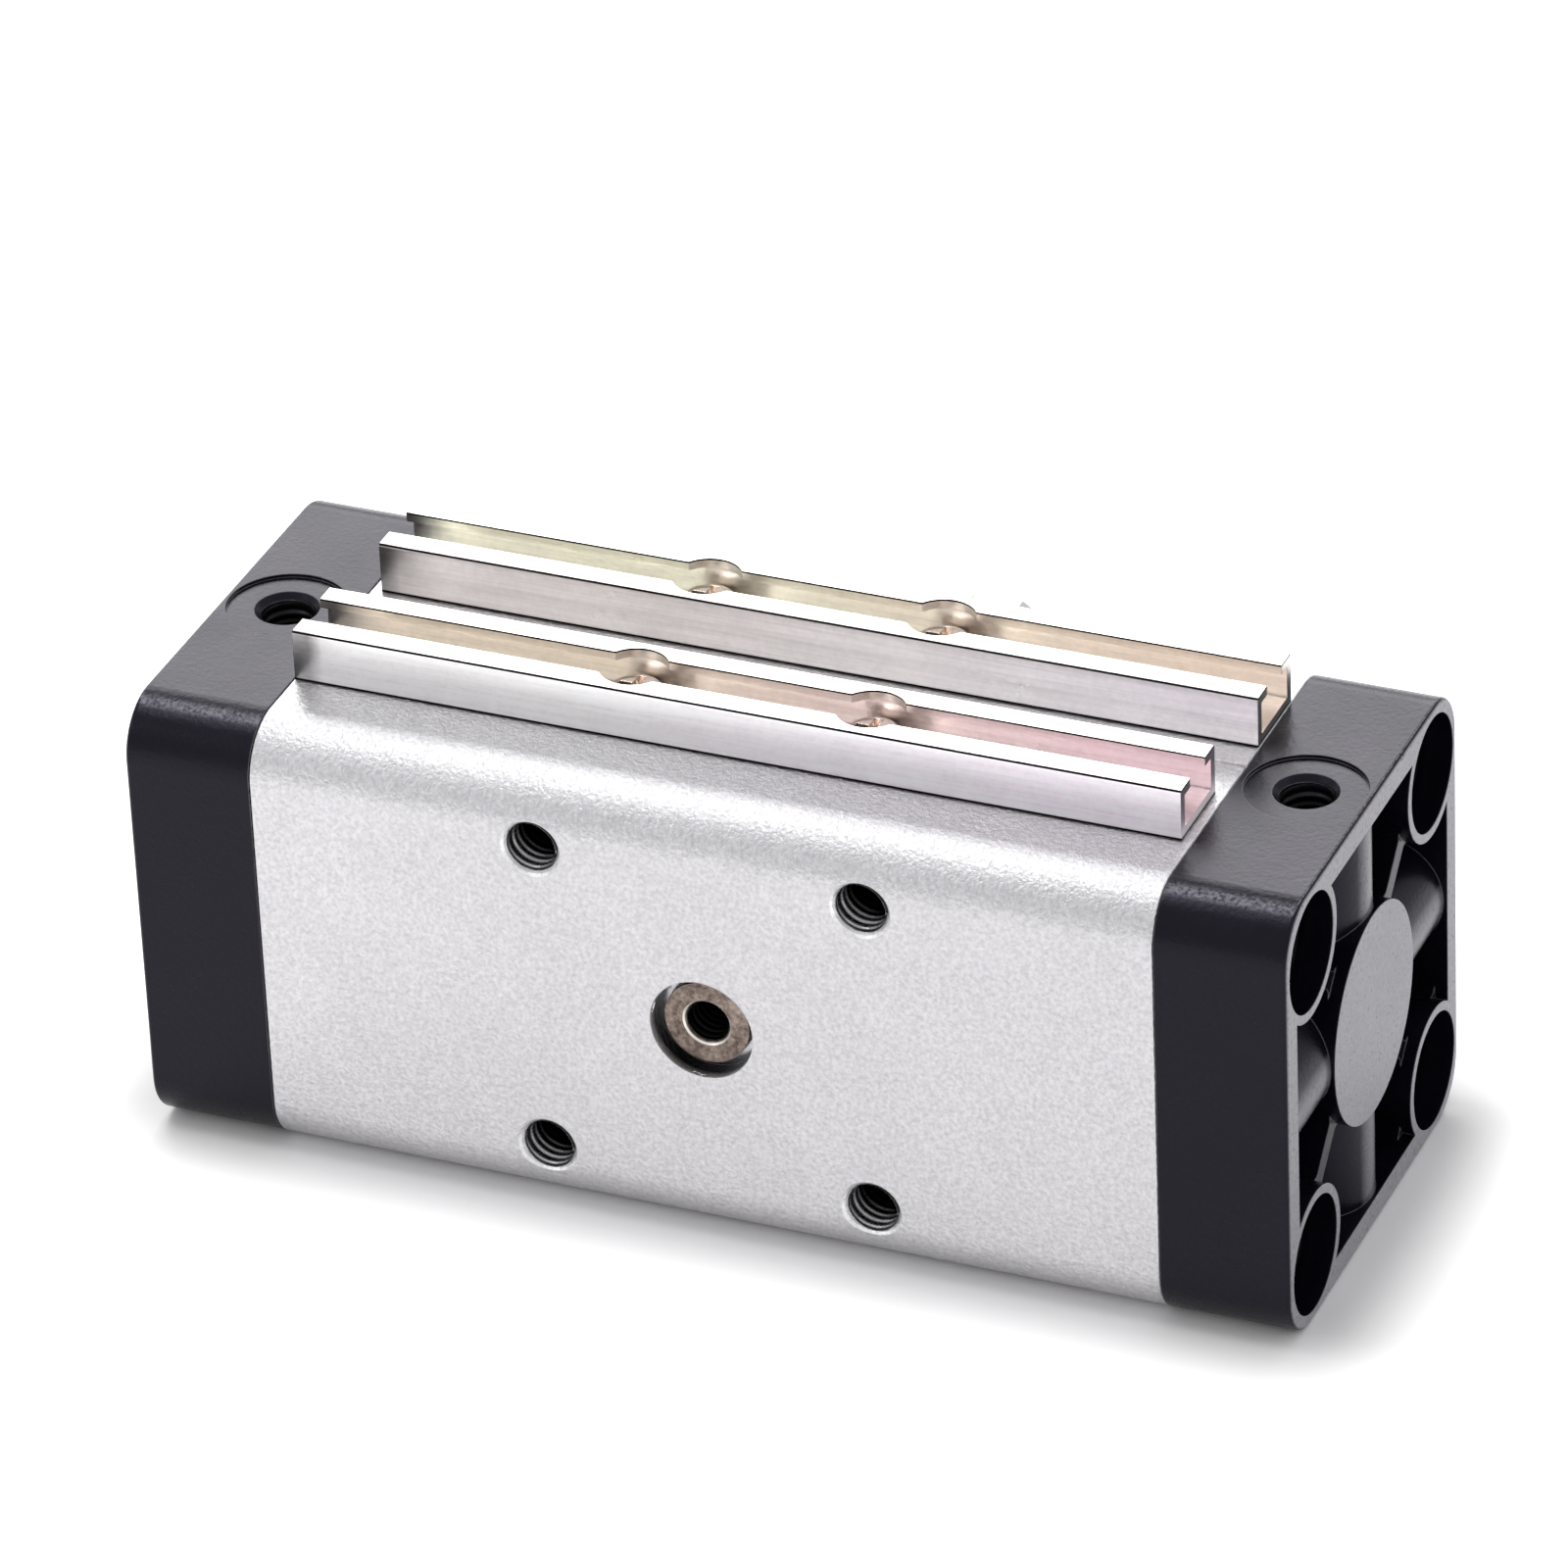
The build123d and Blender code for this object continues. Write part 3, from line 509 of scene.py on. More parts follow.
# Die-cast aluminium under satin black stove enamel: near black face on, grey where it mirrors the sky at a slant,
# with a fine orange peel drawn at 0.22 mm.
# Its light grey edge colour is a painted highlight with some wear.
SATIN_COVER = FettledCover("satin_black_painted_die_casting", "#08080f", "#0d0d14", roughness=0.27,
                           roughness_spread=0.03, specular=0.23, mirror_tint="#ece4ff", cloud_mm=7.0,
                           grain_mm=0.22, grain_tone=0.16, grain_depth_mm=0.03, wear_and_light_colour="#b4b3b8",
                           edge_mm=0.14, edge_wear_and_light=0.6)
# Thin extruded aluminium, clear anodised over the die lines, which run the length of the rail. The painted
# reflection tints cover both rails whole, so the base and shade given here lie hidden under them.
# Its dark edge colour is a painted dark line along the edges.
RAIL = TintedRail("drawn_anodised_aluminium", "#efece8", "#e4dfdc", metallic=1.0, roughness=0.3,
                  roughness_spread=0.03, cloud_mm=5.0, cloud_amount=0.5, grain_mm=0.3, grain_tone=0.05,
                  grain_depth_mm=0.006, lay=Lay.ALONG_X, lay_mm=0.25, lay_tone=0.07, lay_depth_mm=0.006,
                  wear_and_light_colour="#4a4244", edge_mm=0.06, edge_wear_and_light=0.8)
# Bright nickel over a cold-headed steel screw: warm cream, partly the nickel's own colour
# and partly a painted reflection of the tinted rail.
NICKEL = Finish("bright_nickel_plate", "#faf1ea", "#e6d6ca", metallic=1.0, roughness=0.1, roughness_spread=0.04,
                cloud_mm=1.2, cloud_amount=0.9, grain_mm=0.2, grain_tone=0.06, grain_depth_mm=0.004,
                wear_and_light_colour="#f1e9e2", edge_mm=0.1, edge_wear_and_light=0.4)
# Alloy steel screw, black oxide and oil: soft dark sheen, greyer on its knurls.
BLACK_OXIDE = Finish("black_oxide_steel", "#1c1c1e", "#28282a", metallic=0.8, roughness=0.38, cloud_mm=2.0,
                     grain_mm=0.15, grain_tone=0.15, grain_depth_mm=0.004, wear_and_light_colour="#6c6c70", edge_mm=0.1, edge_wear_and_light=0.6)
# Natural acetal, moulded: creamy, slightly waxy.
ACETAL = Finish("moulded_natural_acetal", "#ded8c6", "#cfc7b2", roughness=0.42, cloud_mm=4.0, grain_mm=0.3,
                grain_tone=0.03, grain_depth_mm=0.003, wear_and_light_colour="#efebdf", edge_wear_and_light=0.3)
# Cut and case-hardened alloy steel: blue-grey with the hob's lines across the teeth.
GEAR_STEEL = Finish("hobbed_hardened_steel", "#7d7b79", "#615f60", metallic=1.0, roughness=0.34, cloud_mm=3.0,
                    grain_mm=0.2, grain_tone=0.1, grain_depth_mm=0.004, lay=Lay.ROUND_Y, lay_mm=0.15,
                    lay_tone=0.08, lay_depth_mm=0.004, wear_and_light_colour="#b5b3b0", edge_wear_and_light=0.5)
# Ground carbon steel, browned by tempering and handling: warm grey-brown with a rough speckle.
SHAFT_STEEL = BoredShaft("browned_ground_steel", "#8f8178", "#5f534b", metallic=1.0, roughness=0.4,
                         roughness_spread=0.1, cloud_mm=1.4, cloud_amount=0.9, grain_mm=0.22, grain_tone=0.06,
                         grain_depth_mm=0.012, lay=Lay.ROUND_Y, lay_mm=0.14, lay_tone=0.08, lay_depth_mm=0.005,
                         wear_and_light_colour="#e5ddd4", edge_mm=0.12, edge_wear_and_light=0.8)
# The same steel inside its tapped hole, painted near black as shade.
SHADED_THREAD = Finish("shaded_steel_thread", "#1d1b1a", "#0e0d0d", metallic=0.8, roughness=0.4, cloud_mm=0.8,
                     grain_mm=0.2, grain_tone=0.1, grain_depth_mm=0.003, wear_and_light_colour="#4d4844", edge_mm=0.08, edge_wear_and_light=0.4)
# Lathe-turned aluminium: fine bright rings about the bore's axis.
TURNED_PISTON = Finish("turned_aluminium", "#cfd1d3", "#bfc1c4", metallic=1.0, roughness=0.28, cloud_mm=6.0,
                       grain_mm=0.2, grain_tone=0.04, grain_depth_mm=0.002, lay=Lay.ROUND_X, lay_mm=0.12,
                       lay_tone=0.07, lay_depth_mm=0.006, wear_and_light_colour="#eceeef", edge_wear_and_light=0.5)
# Pressed and bonded ferrite: dull charcoal with a fine powdery grain.
FERRITE = Finish("bonded_ferrite", "#3a3838", "#2e2c2c", roughness=0.72, cloud_mm=2.0, grain_mm=0.15,
                 grain_tone=0.2, grain_depth_mm=0.01, wear_and_light_colour="#565353", edge_wear_and_light=0.4)
# Moulded nitrile rubber: matt black, faintly dusty.
RUBBER = Finish("moulded_nitrile_rubber", "#161617", "#202021", roughness=0.66, cloud_mm=3.0, grain_mm=0.25,
                grain_tone=0.1, grain_depth_mm=0.006, wear_and_light_colour="#3a3a3b", edge_wear_and_light=0.25)
# Super-finished chrome bearing steel: near-mirror with hairline polishing rings.
BEARING_STEEL = Finish("polished_bearing_steel", "#c4c4c6", "#b2b2b5", metallic=1.0, roughness=0.14,
                       roughness_spread=0.04, cloud_mm=3.0, grain_mm=0.2, grain_tone=0.03, grain_depth_mm=0.001,
                       lay=Lay.ROUND_Y, lay_mm=0.12, lay_tone=0.04, lay_depth_mm=0.002, wear_and_light_colour="#e4e4e6", edge_wear_and_light=0.3)
# Pressed cartridge brass strip: warm yellow, slightly tarnished.
BRASS = Finish("pressed_brass", "#c9a455", "#a98442", metallic=1.0, roughness=0.32, cloud_mm=1.5, cloud_amount=0.8,
               grain_mm=0.2, grain_tone=0.06, grain_depth_mm=0.003, wear_and_light_colour="#ead08b", edge_wear_and_light=0.4)
# Freshly cut aluminium in the tapped holes: brighter and smoother than the blasted skin round it; painted shade
# darkens it deeper in.
CUT_THREAD = SkinFinish("tapped_aluminium_thread", "#cfcfd0", "#a5a5a7", metallic=1.0, roughness=0.26,
                        cloud_mm=1.0, grain_mm=0.2, grain_tone=0.08, grain_depth_mm=0.003, wear_and_light_colour="#f2f2f3",
                        edge_mm=0.08, edge_wear_and_light=0.6, clear_mm=0.8, dark_mm=3.4)
# Thread cut through the paint into the casting: grey metal smeared with black; painted shade darkens it deeper in.
PORT_THREAD = SkinFinish("tapped_die_casting_thread", "#5a595d", "#2b2b2e", metallic=0.9, roughness=0.34,
                         cloud_mm=0.8, cloud_amount=0.9, grain_mm=0.2, grain_tone=0.12, grain_depth_mm=0.004,
                         wear_and_light_colour="#bdbdc2", edge_mm=0.08, edge_wear_and_light=0.5)
# A burr of raw aluminium: as bright as foil on the side that catches the light, dark grey-brown in small patches at
# random.
RAW_BURR = Finish("raw_aluminium_burr", "#f5f5f5", "#3c3835", metallic=1.0, roughness=0.2, cloud_mm=0.25,
                  cloud_amount=1.0, grain_mm=0.15, grain_tone=0.2, grain_depth_mm=0.004, wear_and_light_colour="#ffffff",
                  edge_mm=0.03, edge_wear_and_light=0.2)

SLOT_FINISHES = {
    "anodised_body": BLASTED_BODY, "black_cover": SATIN_COVER, "rail_aluminium": RAIL, "nickel_screw": NICKEL,
    "black_screw": BLACK_OXIDE, "bearing_plastic": ACETAL, "gear_steel": GEAR_STEEL, "shaft_steel": SHAFT_STEEL,
    "piston_aluminium": TURNED_PISTON, "magnet": FERRITE, "black_rubber": RUBBER,
    "bearing_steel": BEARING_STEEL, "cage_brass": BRASS,
}


@dataclass
class GrownPiece:
    """A piece that a Geometry Nodes tree makes and that is then kept as a plain mesh."""

    title: str
    body: str
    slot: str
    finish: Finish

    def tree(self) -> bpy.types.NodeTree:
        """Build the tree that makes the piece."""
        raise NotImplementedError

    def sizes(self) -> dict[str, float | tuple]:
        """Values for the tree's named inputs."""
        raise NotImplementedError

    def open_tree(self) -> tuple[bpy.types.NodeTree, dict[str, bpy.types.NodeSocket]]:
        """Start a tree with one named input for each size.

        Returns:
            The tree, and the group input's sockets by name.
        """
        tree = bpy.data.node_groups.new(self.title + "_tree", "GeometryNodeTree")
        for name, value in self.sizes().items():
            kind = "NodeSocketVector" if isinstance(value, tuple) else "NodeSocketFloat"
            kind = "NodeSocketInt" if isinstance(value, int) else kind
            tree.interface.new_socket(name=name, in_out="INPUT", socket_type=kind)
        tree.interface.new_socket(name="Material", in_out="INPUT", socket_type="NodeSocketMaterial")
        tree.interface.new_socket(name="Geometry", in_out="OUTPUT", socket_type="NodeSocketGeometry")
        start = add(tree, "NodeGroupInput")
        return tree, {socket.name: socket for socket in start.outputs}

    def close_tree(self, tree: bpy.types.NodeTree, shape: bpy.types.NodeSocket,
                   material: bpy.types.NodeSocket) -> None:
        """End a tree in realised instances with their material.

        Args:
            tree: The tree to end.
            shape: Geometry to hand out.
            material: The material input.
        """
        real = add(tree, "GeometryNodeRealizeInstances", {"Geometry": shape}).outputs[0]
        dressed = add(tree, "GeometryNodeSetMaterial", {"Geometry": real, "Material": material}).outputs[0]
        add(tree, "NodeGroupOutput", {"Geometry": dressed})

    def grow(self) -> bpy.types.Object:
        """Evaluate the tree and keep its result as a plain mesh that rides on its body.

        Returns:
            The finished object.
        """
        maker = bpy.data.objects.new(self.title, bpy.data.meshes.new(self.title + "_seed"))
        bpy.context.scene.collection.objects.link(maker)
        modifier = maker.modifiers.new("grow", "NODES")
        modifier.node_group = self.tree()
        values = {**self.sizes(), "Material": self.finish.make()}
        for item in modifier.node_group.interface.items_tree:
            if item.in_out == "INPUT":
                modifier[item.identifier] = values[item.name]
        evaluated = maker.evaluated_get(bpy.context.evaluated_depsgraph_get())
        mesh = bpy.data.meshes.new_from_object(evaluated)
        maker.modifiers.remove(modifier)
        maker.data = mesh
        mesh.name = self.title
        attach(maker, self.body)
        LOG.info("%s: %d faces on %s", self.title, len(mesh.polygons), self.body)
        return maker


@dataclass
class ThreadRidges(GrownPiece):
    """Crests of a cut thread inside each hole of a pattern; the thread's axis points out of the hole."""

    wall_mm: float = 2.1
    crest_mm: float = 0.22
    pitch_mm: float = 0.8
    depth_mm: float = 7.6
    lead_in_mm: float = 0.45
    columns: int = 2
    rows: int = 2
    spacing_mm: tuple[float, float] = (27.0, 27.0)
    centre_mm: tuple[float, float, float] = (0.0, -19.0, AXIS_MM)
    turn: tuple[float, float, float] = (math.pi / 2, 0.0, 0.0)
    steps_per_turn: int = 40
    flank_span: tuple[float, float] = (0.42, 0.1)
    bite_mm: float = 0.02

    def sizes(self) -> dict[str, float | tuple]:
        """Values for the tree's named inputs."""
        turns = (self.depth_mm - self.lead_in_mm) / self.pitch_mm
        return {
            "Wall Radius": self.wall_mm * MM, "Crest Height": self.crest_mm * MM, "Pitch": self.pitch_mm * MM,
            "Turns": turns, "Lead In": self.lead_in_mm * MM, "Steps": int(turns * self.steps_per_turn),
            "Columns": self.columns, "Rows": self.rows, "Spacing Across": self.spacing_mm[0] * MM,
            "Spacing Up": self.spacing_mm[1] * MM, "Pattern Centre": tuple(v * MM for v in self.centre_mm),
            "Pattern Turn": self.turn,
        }

    def tree(self) -> bpy.types.NodeTree:
        """Wrap a narrow grid into one long ridge on a helix and set it in every hole.

        Returns:
            The Geometry Nodes tree.
        """
        tree, given = self.open_tree()
        strip = add(tree, "GeometryNodeMeshGrid", {"Size X": 1.0, "Size Y": 1.0, "Vertices X": given["Steps"],
                                                   "Vertices Y": 7}).outputs["Mesh"]
        flat = add(tree, "ShaderNodeSeparateXYZ", {0: add(tree, "GeometryNodeInputPosition").outputs[0]}).outputs
        along = add(tree, "ShaderNodeMath", {0: flat["X"], 1: 0.5}, operation="ADD").outputs[0]
        turned = add(tree, "ShaderNodeMath", {0: along, 1: given["Turns"]}, operation="MULTIPLY").outputs[0]
        angle = add(tree, "ShaderNodeMath", {0: turned, 1: 2 * math.pi}, operation="MULTIPLY").outputs[0]
        side = add(tree, "ShaderNodeMath", {0: flat["Y"]}, operation="ABSOLUTE").outputs[0]
        root, top = self.flank_span
        flank = add(tree, "ShaderNodeMapRange", {"Value": side, "From Min": root, "From Max": top}).outputs[0]
        start = add(tree, "ShaderNodeMath", {0: turned, 1: 1.0}, operation="MINIMUM").outputs[0]
        crest = add(tree, "ShaderNodeMath", {0: flank, 1: start}, operation="MULTIPLY").outputs[0]
        drop = add(tree, "ShaderNodeMath", {0: crest, 1: given["Crest Height"]}, operation="MULTIPLY").outputs[0]
        sunk = add(tree, "ShaderNodeMath", {0: given["Wall Radius"], 1: self.bite_mm * MM}, operation="ADD").outputs[0]
        reach = add(tree, "ShaderNodeMath", {0: sunk, 1: drop}, operation="SUBTRACT").outputs[0]
        cosine = add(tree, "ShaderNodeMath", {0: angle}, operation="COSINE").outputs[0]
        sine = add(tree, "ShaderNodeMath", {0: angle}, operation="SINE").outputs[0]
        x = add(tree, "ShaderNodeMath", {0: reach, 1: cosine}, operation="MULTIPLY").outputs[0]
        y = add(tree, "ShaderNodeMath", {0: reach, 1: sine}, operation="MULTIPLY").outputs[0]
        shift = add(tree, "ShaderNodeMath", {0: flat["Y"], 1: turned}, operation="SUBTRACT").outputs[0]
        sink = add(tree, "ShaderNodeMath", {0: shift, 1: given["Pitch"]}, operation="MULTIPLY").outputs[0]
        z = add(tree, "ShaderNodeMath", {0: sink, 1: given["Lead In"]}, operation="SUBTRACT").outputs[0]
        place = add(tree, "ShaderNodeCombineXYZ", {"X": x, "Y": y, "Z": z}).outputs[0]
        ridge = add(tree, "GeometryNodeSetPosition", {"Geometry": strip, "Position": place}).outputs[0]
        inward = add(tree, "GeometryNodeFlipFaces", {"Mesh": ridge}).outputs[0]
        holes = add(tree, "GeometryNodeMeshGrid", {"Size X": given["Spacing Across"], "Size Y": given["Spacing Up"],
                                                   "Vertices X": given["Columns"],
                                                   "Vertices Y": given["Rows"]}).outputs["Mesh"]
        filled = add(tree, "GeometryNodeInstanceOnPoints", {"Points": holes, "Instance": inward}).outputs[0]
        real = add(tree, "GeometryNodeRealizeInstances", {"Geometry": filled}).outputs[0]
        set_in = add(tree, "GeometryNodeTransform", {"Geometry": real, "Translation": given["Pattern Centre"],
                                                     "Rotation": given["Pattern Turn"]}).outputs[0]
        self.close_tree(tree, set_in, given["Material"])
        return tree


@dataclass
class HeadKnurls(GrownPiece):
    """Fine grip ribs round the four socket heads at one end of the body."""

    head_mm: float = 4.22
    rib_mm: float = 0.11
    rib_length_mm: float = 4.2
    ribs: int = 72
    screw_square_mm: float = 27.0
    first_x_mm: float = 40.5
    side: int = 1

    def sizes(self) -> dict[str, float | tuple]:
        """Values for the tree's named inputs."""
        middle = self.side * (self.first_x_mm + self.rib_length_mm / 2)
        return {
            "Head Radius": self.head_mm * MM, "Rib Radius": self.rib_mm * MM, "Rib Length": self.rib_length_mm * MM,
            "Ribs": self.ribs, "Screw Square": self.screw_square_mm * MM,
            "Pattern Centre": (middle * MM, 0.0, AXIS_MM * MM), "Pattern Turn": (0.0, math.pi / 2, 0.0),
        }

    def tree(self) -> bpy.types.NodeTree:
        """Stand four-sided ribs round a circle and set that ring on every head.

        Returns:
            The Geometry Nodes tree.
        """
        tree, given = self.open_tree()
        ring = add(tree, "GeometryNodeMeshCircle", {"Vertices": given["Ribs"],
                                                    "Radius": given["Head Radius"]}).outputs[0]
        rib = add(tree, "GeometryNodeMeshCylinder", {"Vertices": 4, "Radius": given["Rib Radius"],
                                                     "Depth": given["Rib Length"]}).outputs["Mesh"]
        knurl = add(tree, "GeometryNodeInstanceOnPoints", {"Points": ring, "Instance": rib}).outputs[0]
        heads = add(tree, "GeometryNodeMeshGrid", {"Size X": given["Screw Square"], "Size Y": given["Screw Square"],
                                                   "Vertices X": 2, "Vertices Y": 2}).outputs["Mesh"]
        four = add(tree, "GeometryNodeInstanceOnPoints", {"Points": heads, "Instance": knurl}).outputs[0]
        real = add(tree, "GeometryNodeRealizeInstances", {"Geometry": four}).outputs[0]
        set_on = add(tree, "GeometryNodeTransform", {"Geometry": real, "Translation": given["Pattern Centre"],
                                                     "Rotation": given["Pattern Turn"]}).outputs[0]
        self.close_tree(tree, set_on, given["Material"])
        return tree


@dataclass
class EdgeBurrs(GrownPiece):
    """Curled burrs that the cutter left along part of each round edge in a pattern."""

    arc_mm: float = 2.62
    start: float = math.radians(212)
    sweep: float = math.radians(78)
    wire_mm: float = 0.07
    curl_mm: float = 0.5
    curl_size_mm: float = 0.35
    columns: int = 2
    rows: int = 1
    spacing_mm: tuple[float, float] = (19.5, 0.0)
    centre_mm: tuple[float, float, float] = (0.0, -6.5, 41.4)
    turn: tuple[float, float, float] = (0.0, 0.0, 0.0)

    def sizes(self) -> dict[str, float | tuple]:
        """Values for the tree's named inputs."""
        return {
            "Edge Radius": self.arc_mm * MM, "Start Angle": self.start, "Sweep Angle": self.sweep,
            "Wire Radius": self.wire_mm * MM, "Curl": self.curl_mm * MM,
            "Curls Per Metre": 1 / (self.curl_size_mm * MM),
            "Columns": self.columns, "Rows": self.rows, "Spacing Across": self.spacing_mm[0] * MM,
            "Spacing Up": self.spacing_mm[1] * MM, "Pattern Centre": tuple(v * MM for v in self.centre_mm),
            "Pattern Turn": self.turn,
        }

    def tree(self) -> bpy.types.NodeTree:
        """Curl an arc of wire with noise and set it at every round edge.

        Returns:
            The Geometry Nodes tree.
        """
        tree, given = self.open_tree()
        arc = add(tree, "GeometryNodeCurveArc", {"Resolution": 48, "Radius": given["Edge Radius"],
                                                 "Start Angle": given["Start Angle"],
                                                 "Sweep Angle": given["Sweep Angle"]}, mode="RADIUS").outputs[0]
        holes = add(tree, "GeometryNodeMeshGrid", {"Size X": given["Spacing Across"], "Size Y": given["Spacing Up"],
                                                   "Vertices X": given["Columns"],
                                                   "Vertices Y": given["Rows"]}).outputs["Mesh"]
        placed = add(tree, "GeometryNodeInstanceOnPoints", {"Points": holes, "Instance": arc}).outputs[0]
        real = add(tree, "GeometryNodeRealizeInstances", {"Geometry": placed}).outputs[0]
        here = add(tree, "GeometryNodeInputPosition").outputs[0]
        noise = add(tree, "ShaderNodeTexNoise", {"Vector": here, "Scale": given["Curls Per Metre"],
                                                 "Detail": 1.0}).outputs["Color"]
        middle = add(tree, "ShaderNodeVectorMath", {0: noise, 1: (0.5, 0.5, 0.5)}, operation="SUBTRACT").outputs[0]
        shift = add(tree, "ShaderNodeVectorMath", {0: middle, "Scale": given["Curl"]}, operation="SCALE").outputs[0]
        curled = add(tree, "GeometryNodeSetPosition", {"Geometry": real, "Offset": shift}).outputs[0]
        round_wire = add(tree, "GeometryNodeCurvePrimitiveCircle", {"Resolution": 8,
                                                                    "Radius": given["Wire Radius"]}).outputs[0]
        wire = add(tree, "GeometryNodeCurveToMesh", {"Curve": curled, "Profile Curve": round_wire,
                                                     "Fill Caps": True}).outputs[0]
        set_in = add(tree, "GeometryNodeTransform", {"Geometry": wire, "Translation": given["Pattern Centre"],
                                                     "Rotation": given["Pattern Turn"]}).outputs[0]
        self.close_tree(tree, set_in, given["Material"])
        return tree


@dataclass
class BodyAndCovers:
    """The blasted block, its painted end covers, the rails and every fastener that shows."""

    half_mm: float = 19.0
    port_x_mm: float = 42.25
    port_seat_mm: float = 37.5
    far_cutouts_mm: tuple[float, float, float] = (0.0, 7.9, 41.4)
    window_r_mm: float = 4.15
    window_recess_mm: float = 0.2

    def dress(self, materials: dict[str, bpy.types.Material]) -> None:
        """Give each carried-over node the finish of its slot.

        Args:
            materials: Finished materials by slot.
        """
        for part in frame["record"]["subparts"]:
            piece = frame["nodes"][part["node"]]
            piece.data.materials.clear()
            piece.data.materials.append(materials[part["material_slot"]])
            LOG.info("%s: %s", part["node"], part["material_slot"])

    def threads(self) -> None:
        """Cut the threads that show: both mounting patterns and both air ports."""
        ThreadRidges("blank_side_mounting_threads", "housing", "anodised_body", CUT_THREAD).grow()
        ThreadRidges("shaft_side_mounting_threads", "housing", "anodised_body", CUT_THREAD,
                     centre_mm=(0.0, self.half_mm, self.half_mm), turn=(-math.pi / 2, 0.0, 0.0)).grow()
        ThreadRidges("port_threads", "housing", "black_cover", PORT_THREAD, depth_mm=5.6, rows=1,
                     spacing_mm=(2 * self.port_x_mm, 0.0), centre_mm=(0.0, 0.0, self.port_seat_mm),
                     turn=(0.0, 0.0, 0.0)).grow()

    def burrs(self) -> None:
        """Leave the milling burrs at the rails' cut-outs and at the rear window."""
        EdgeBurrs("blank_side_cutout_burrs", "housing", "rail_aluminium", RAW_BURR).grow()
        EdgeBurrs("shaft_side_cutout_burrs", "housing", "rail_aluminium", RAW_BURR,
                  centre_mm=self.far_cutouts_mm).grow()
        for title, start in (("window_left_burr", 157), ("window_lower_burr", 258)):
            EdgeBurrs(title, "housing", "anodised_body", RAW_BURR, arc_mm=self.window_r_mm,
                      start=math.radians(start), sweep=math.radians(14), wire_mm=0.06, curl_mm=0.35, columns=1,
                      spacing_mm=(0.0, 0.0), centre_mm=(0.0, -self.half_mm + self.window_recess_mm, self.half_mm),
                      turn=(math.pi / 2, 0.0, 0.0)).grow()

    def knurls(self) -> None:
        """Rib the heads of the cover screws at both ends."""
        for title, side in (("right_head_knurls", 1), ("left_head_knurls", -1)):
            HeadKnurls(title, "housing", "black_screw", BLACK_OXIDE, side=side).grow()


@dataclass
class OutputShaft:
    """The shaft that shows through the window hole, with its tapped end."""

    end_y_mm: float = -17.9

    def thread(self) -> None:
        """Cut the M4 thread in the shaft's rear end."""
        ThreadRidges("shaft_end_ridges", "output", "shaft_steel", SHADED_THREAD, wall_mm=1.7, crest_mm=0.17,
                     pitch_mm=0.7, depth_mm=7.5, lead_in_mm=0.4, columns=1, rows=1, spacing_mm=(0.0, 0.0),
                     centre_mm=(0.0, self.end_y_mm, AXIS_MM)).grow()


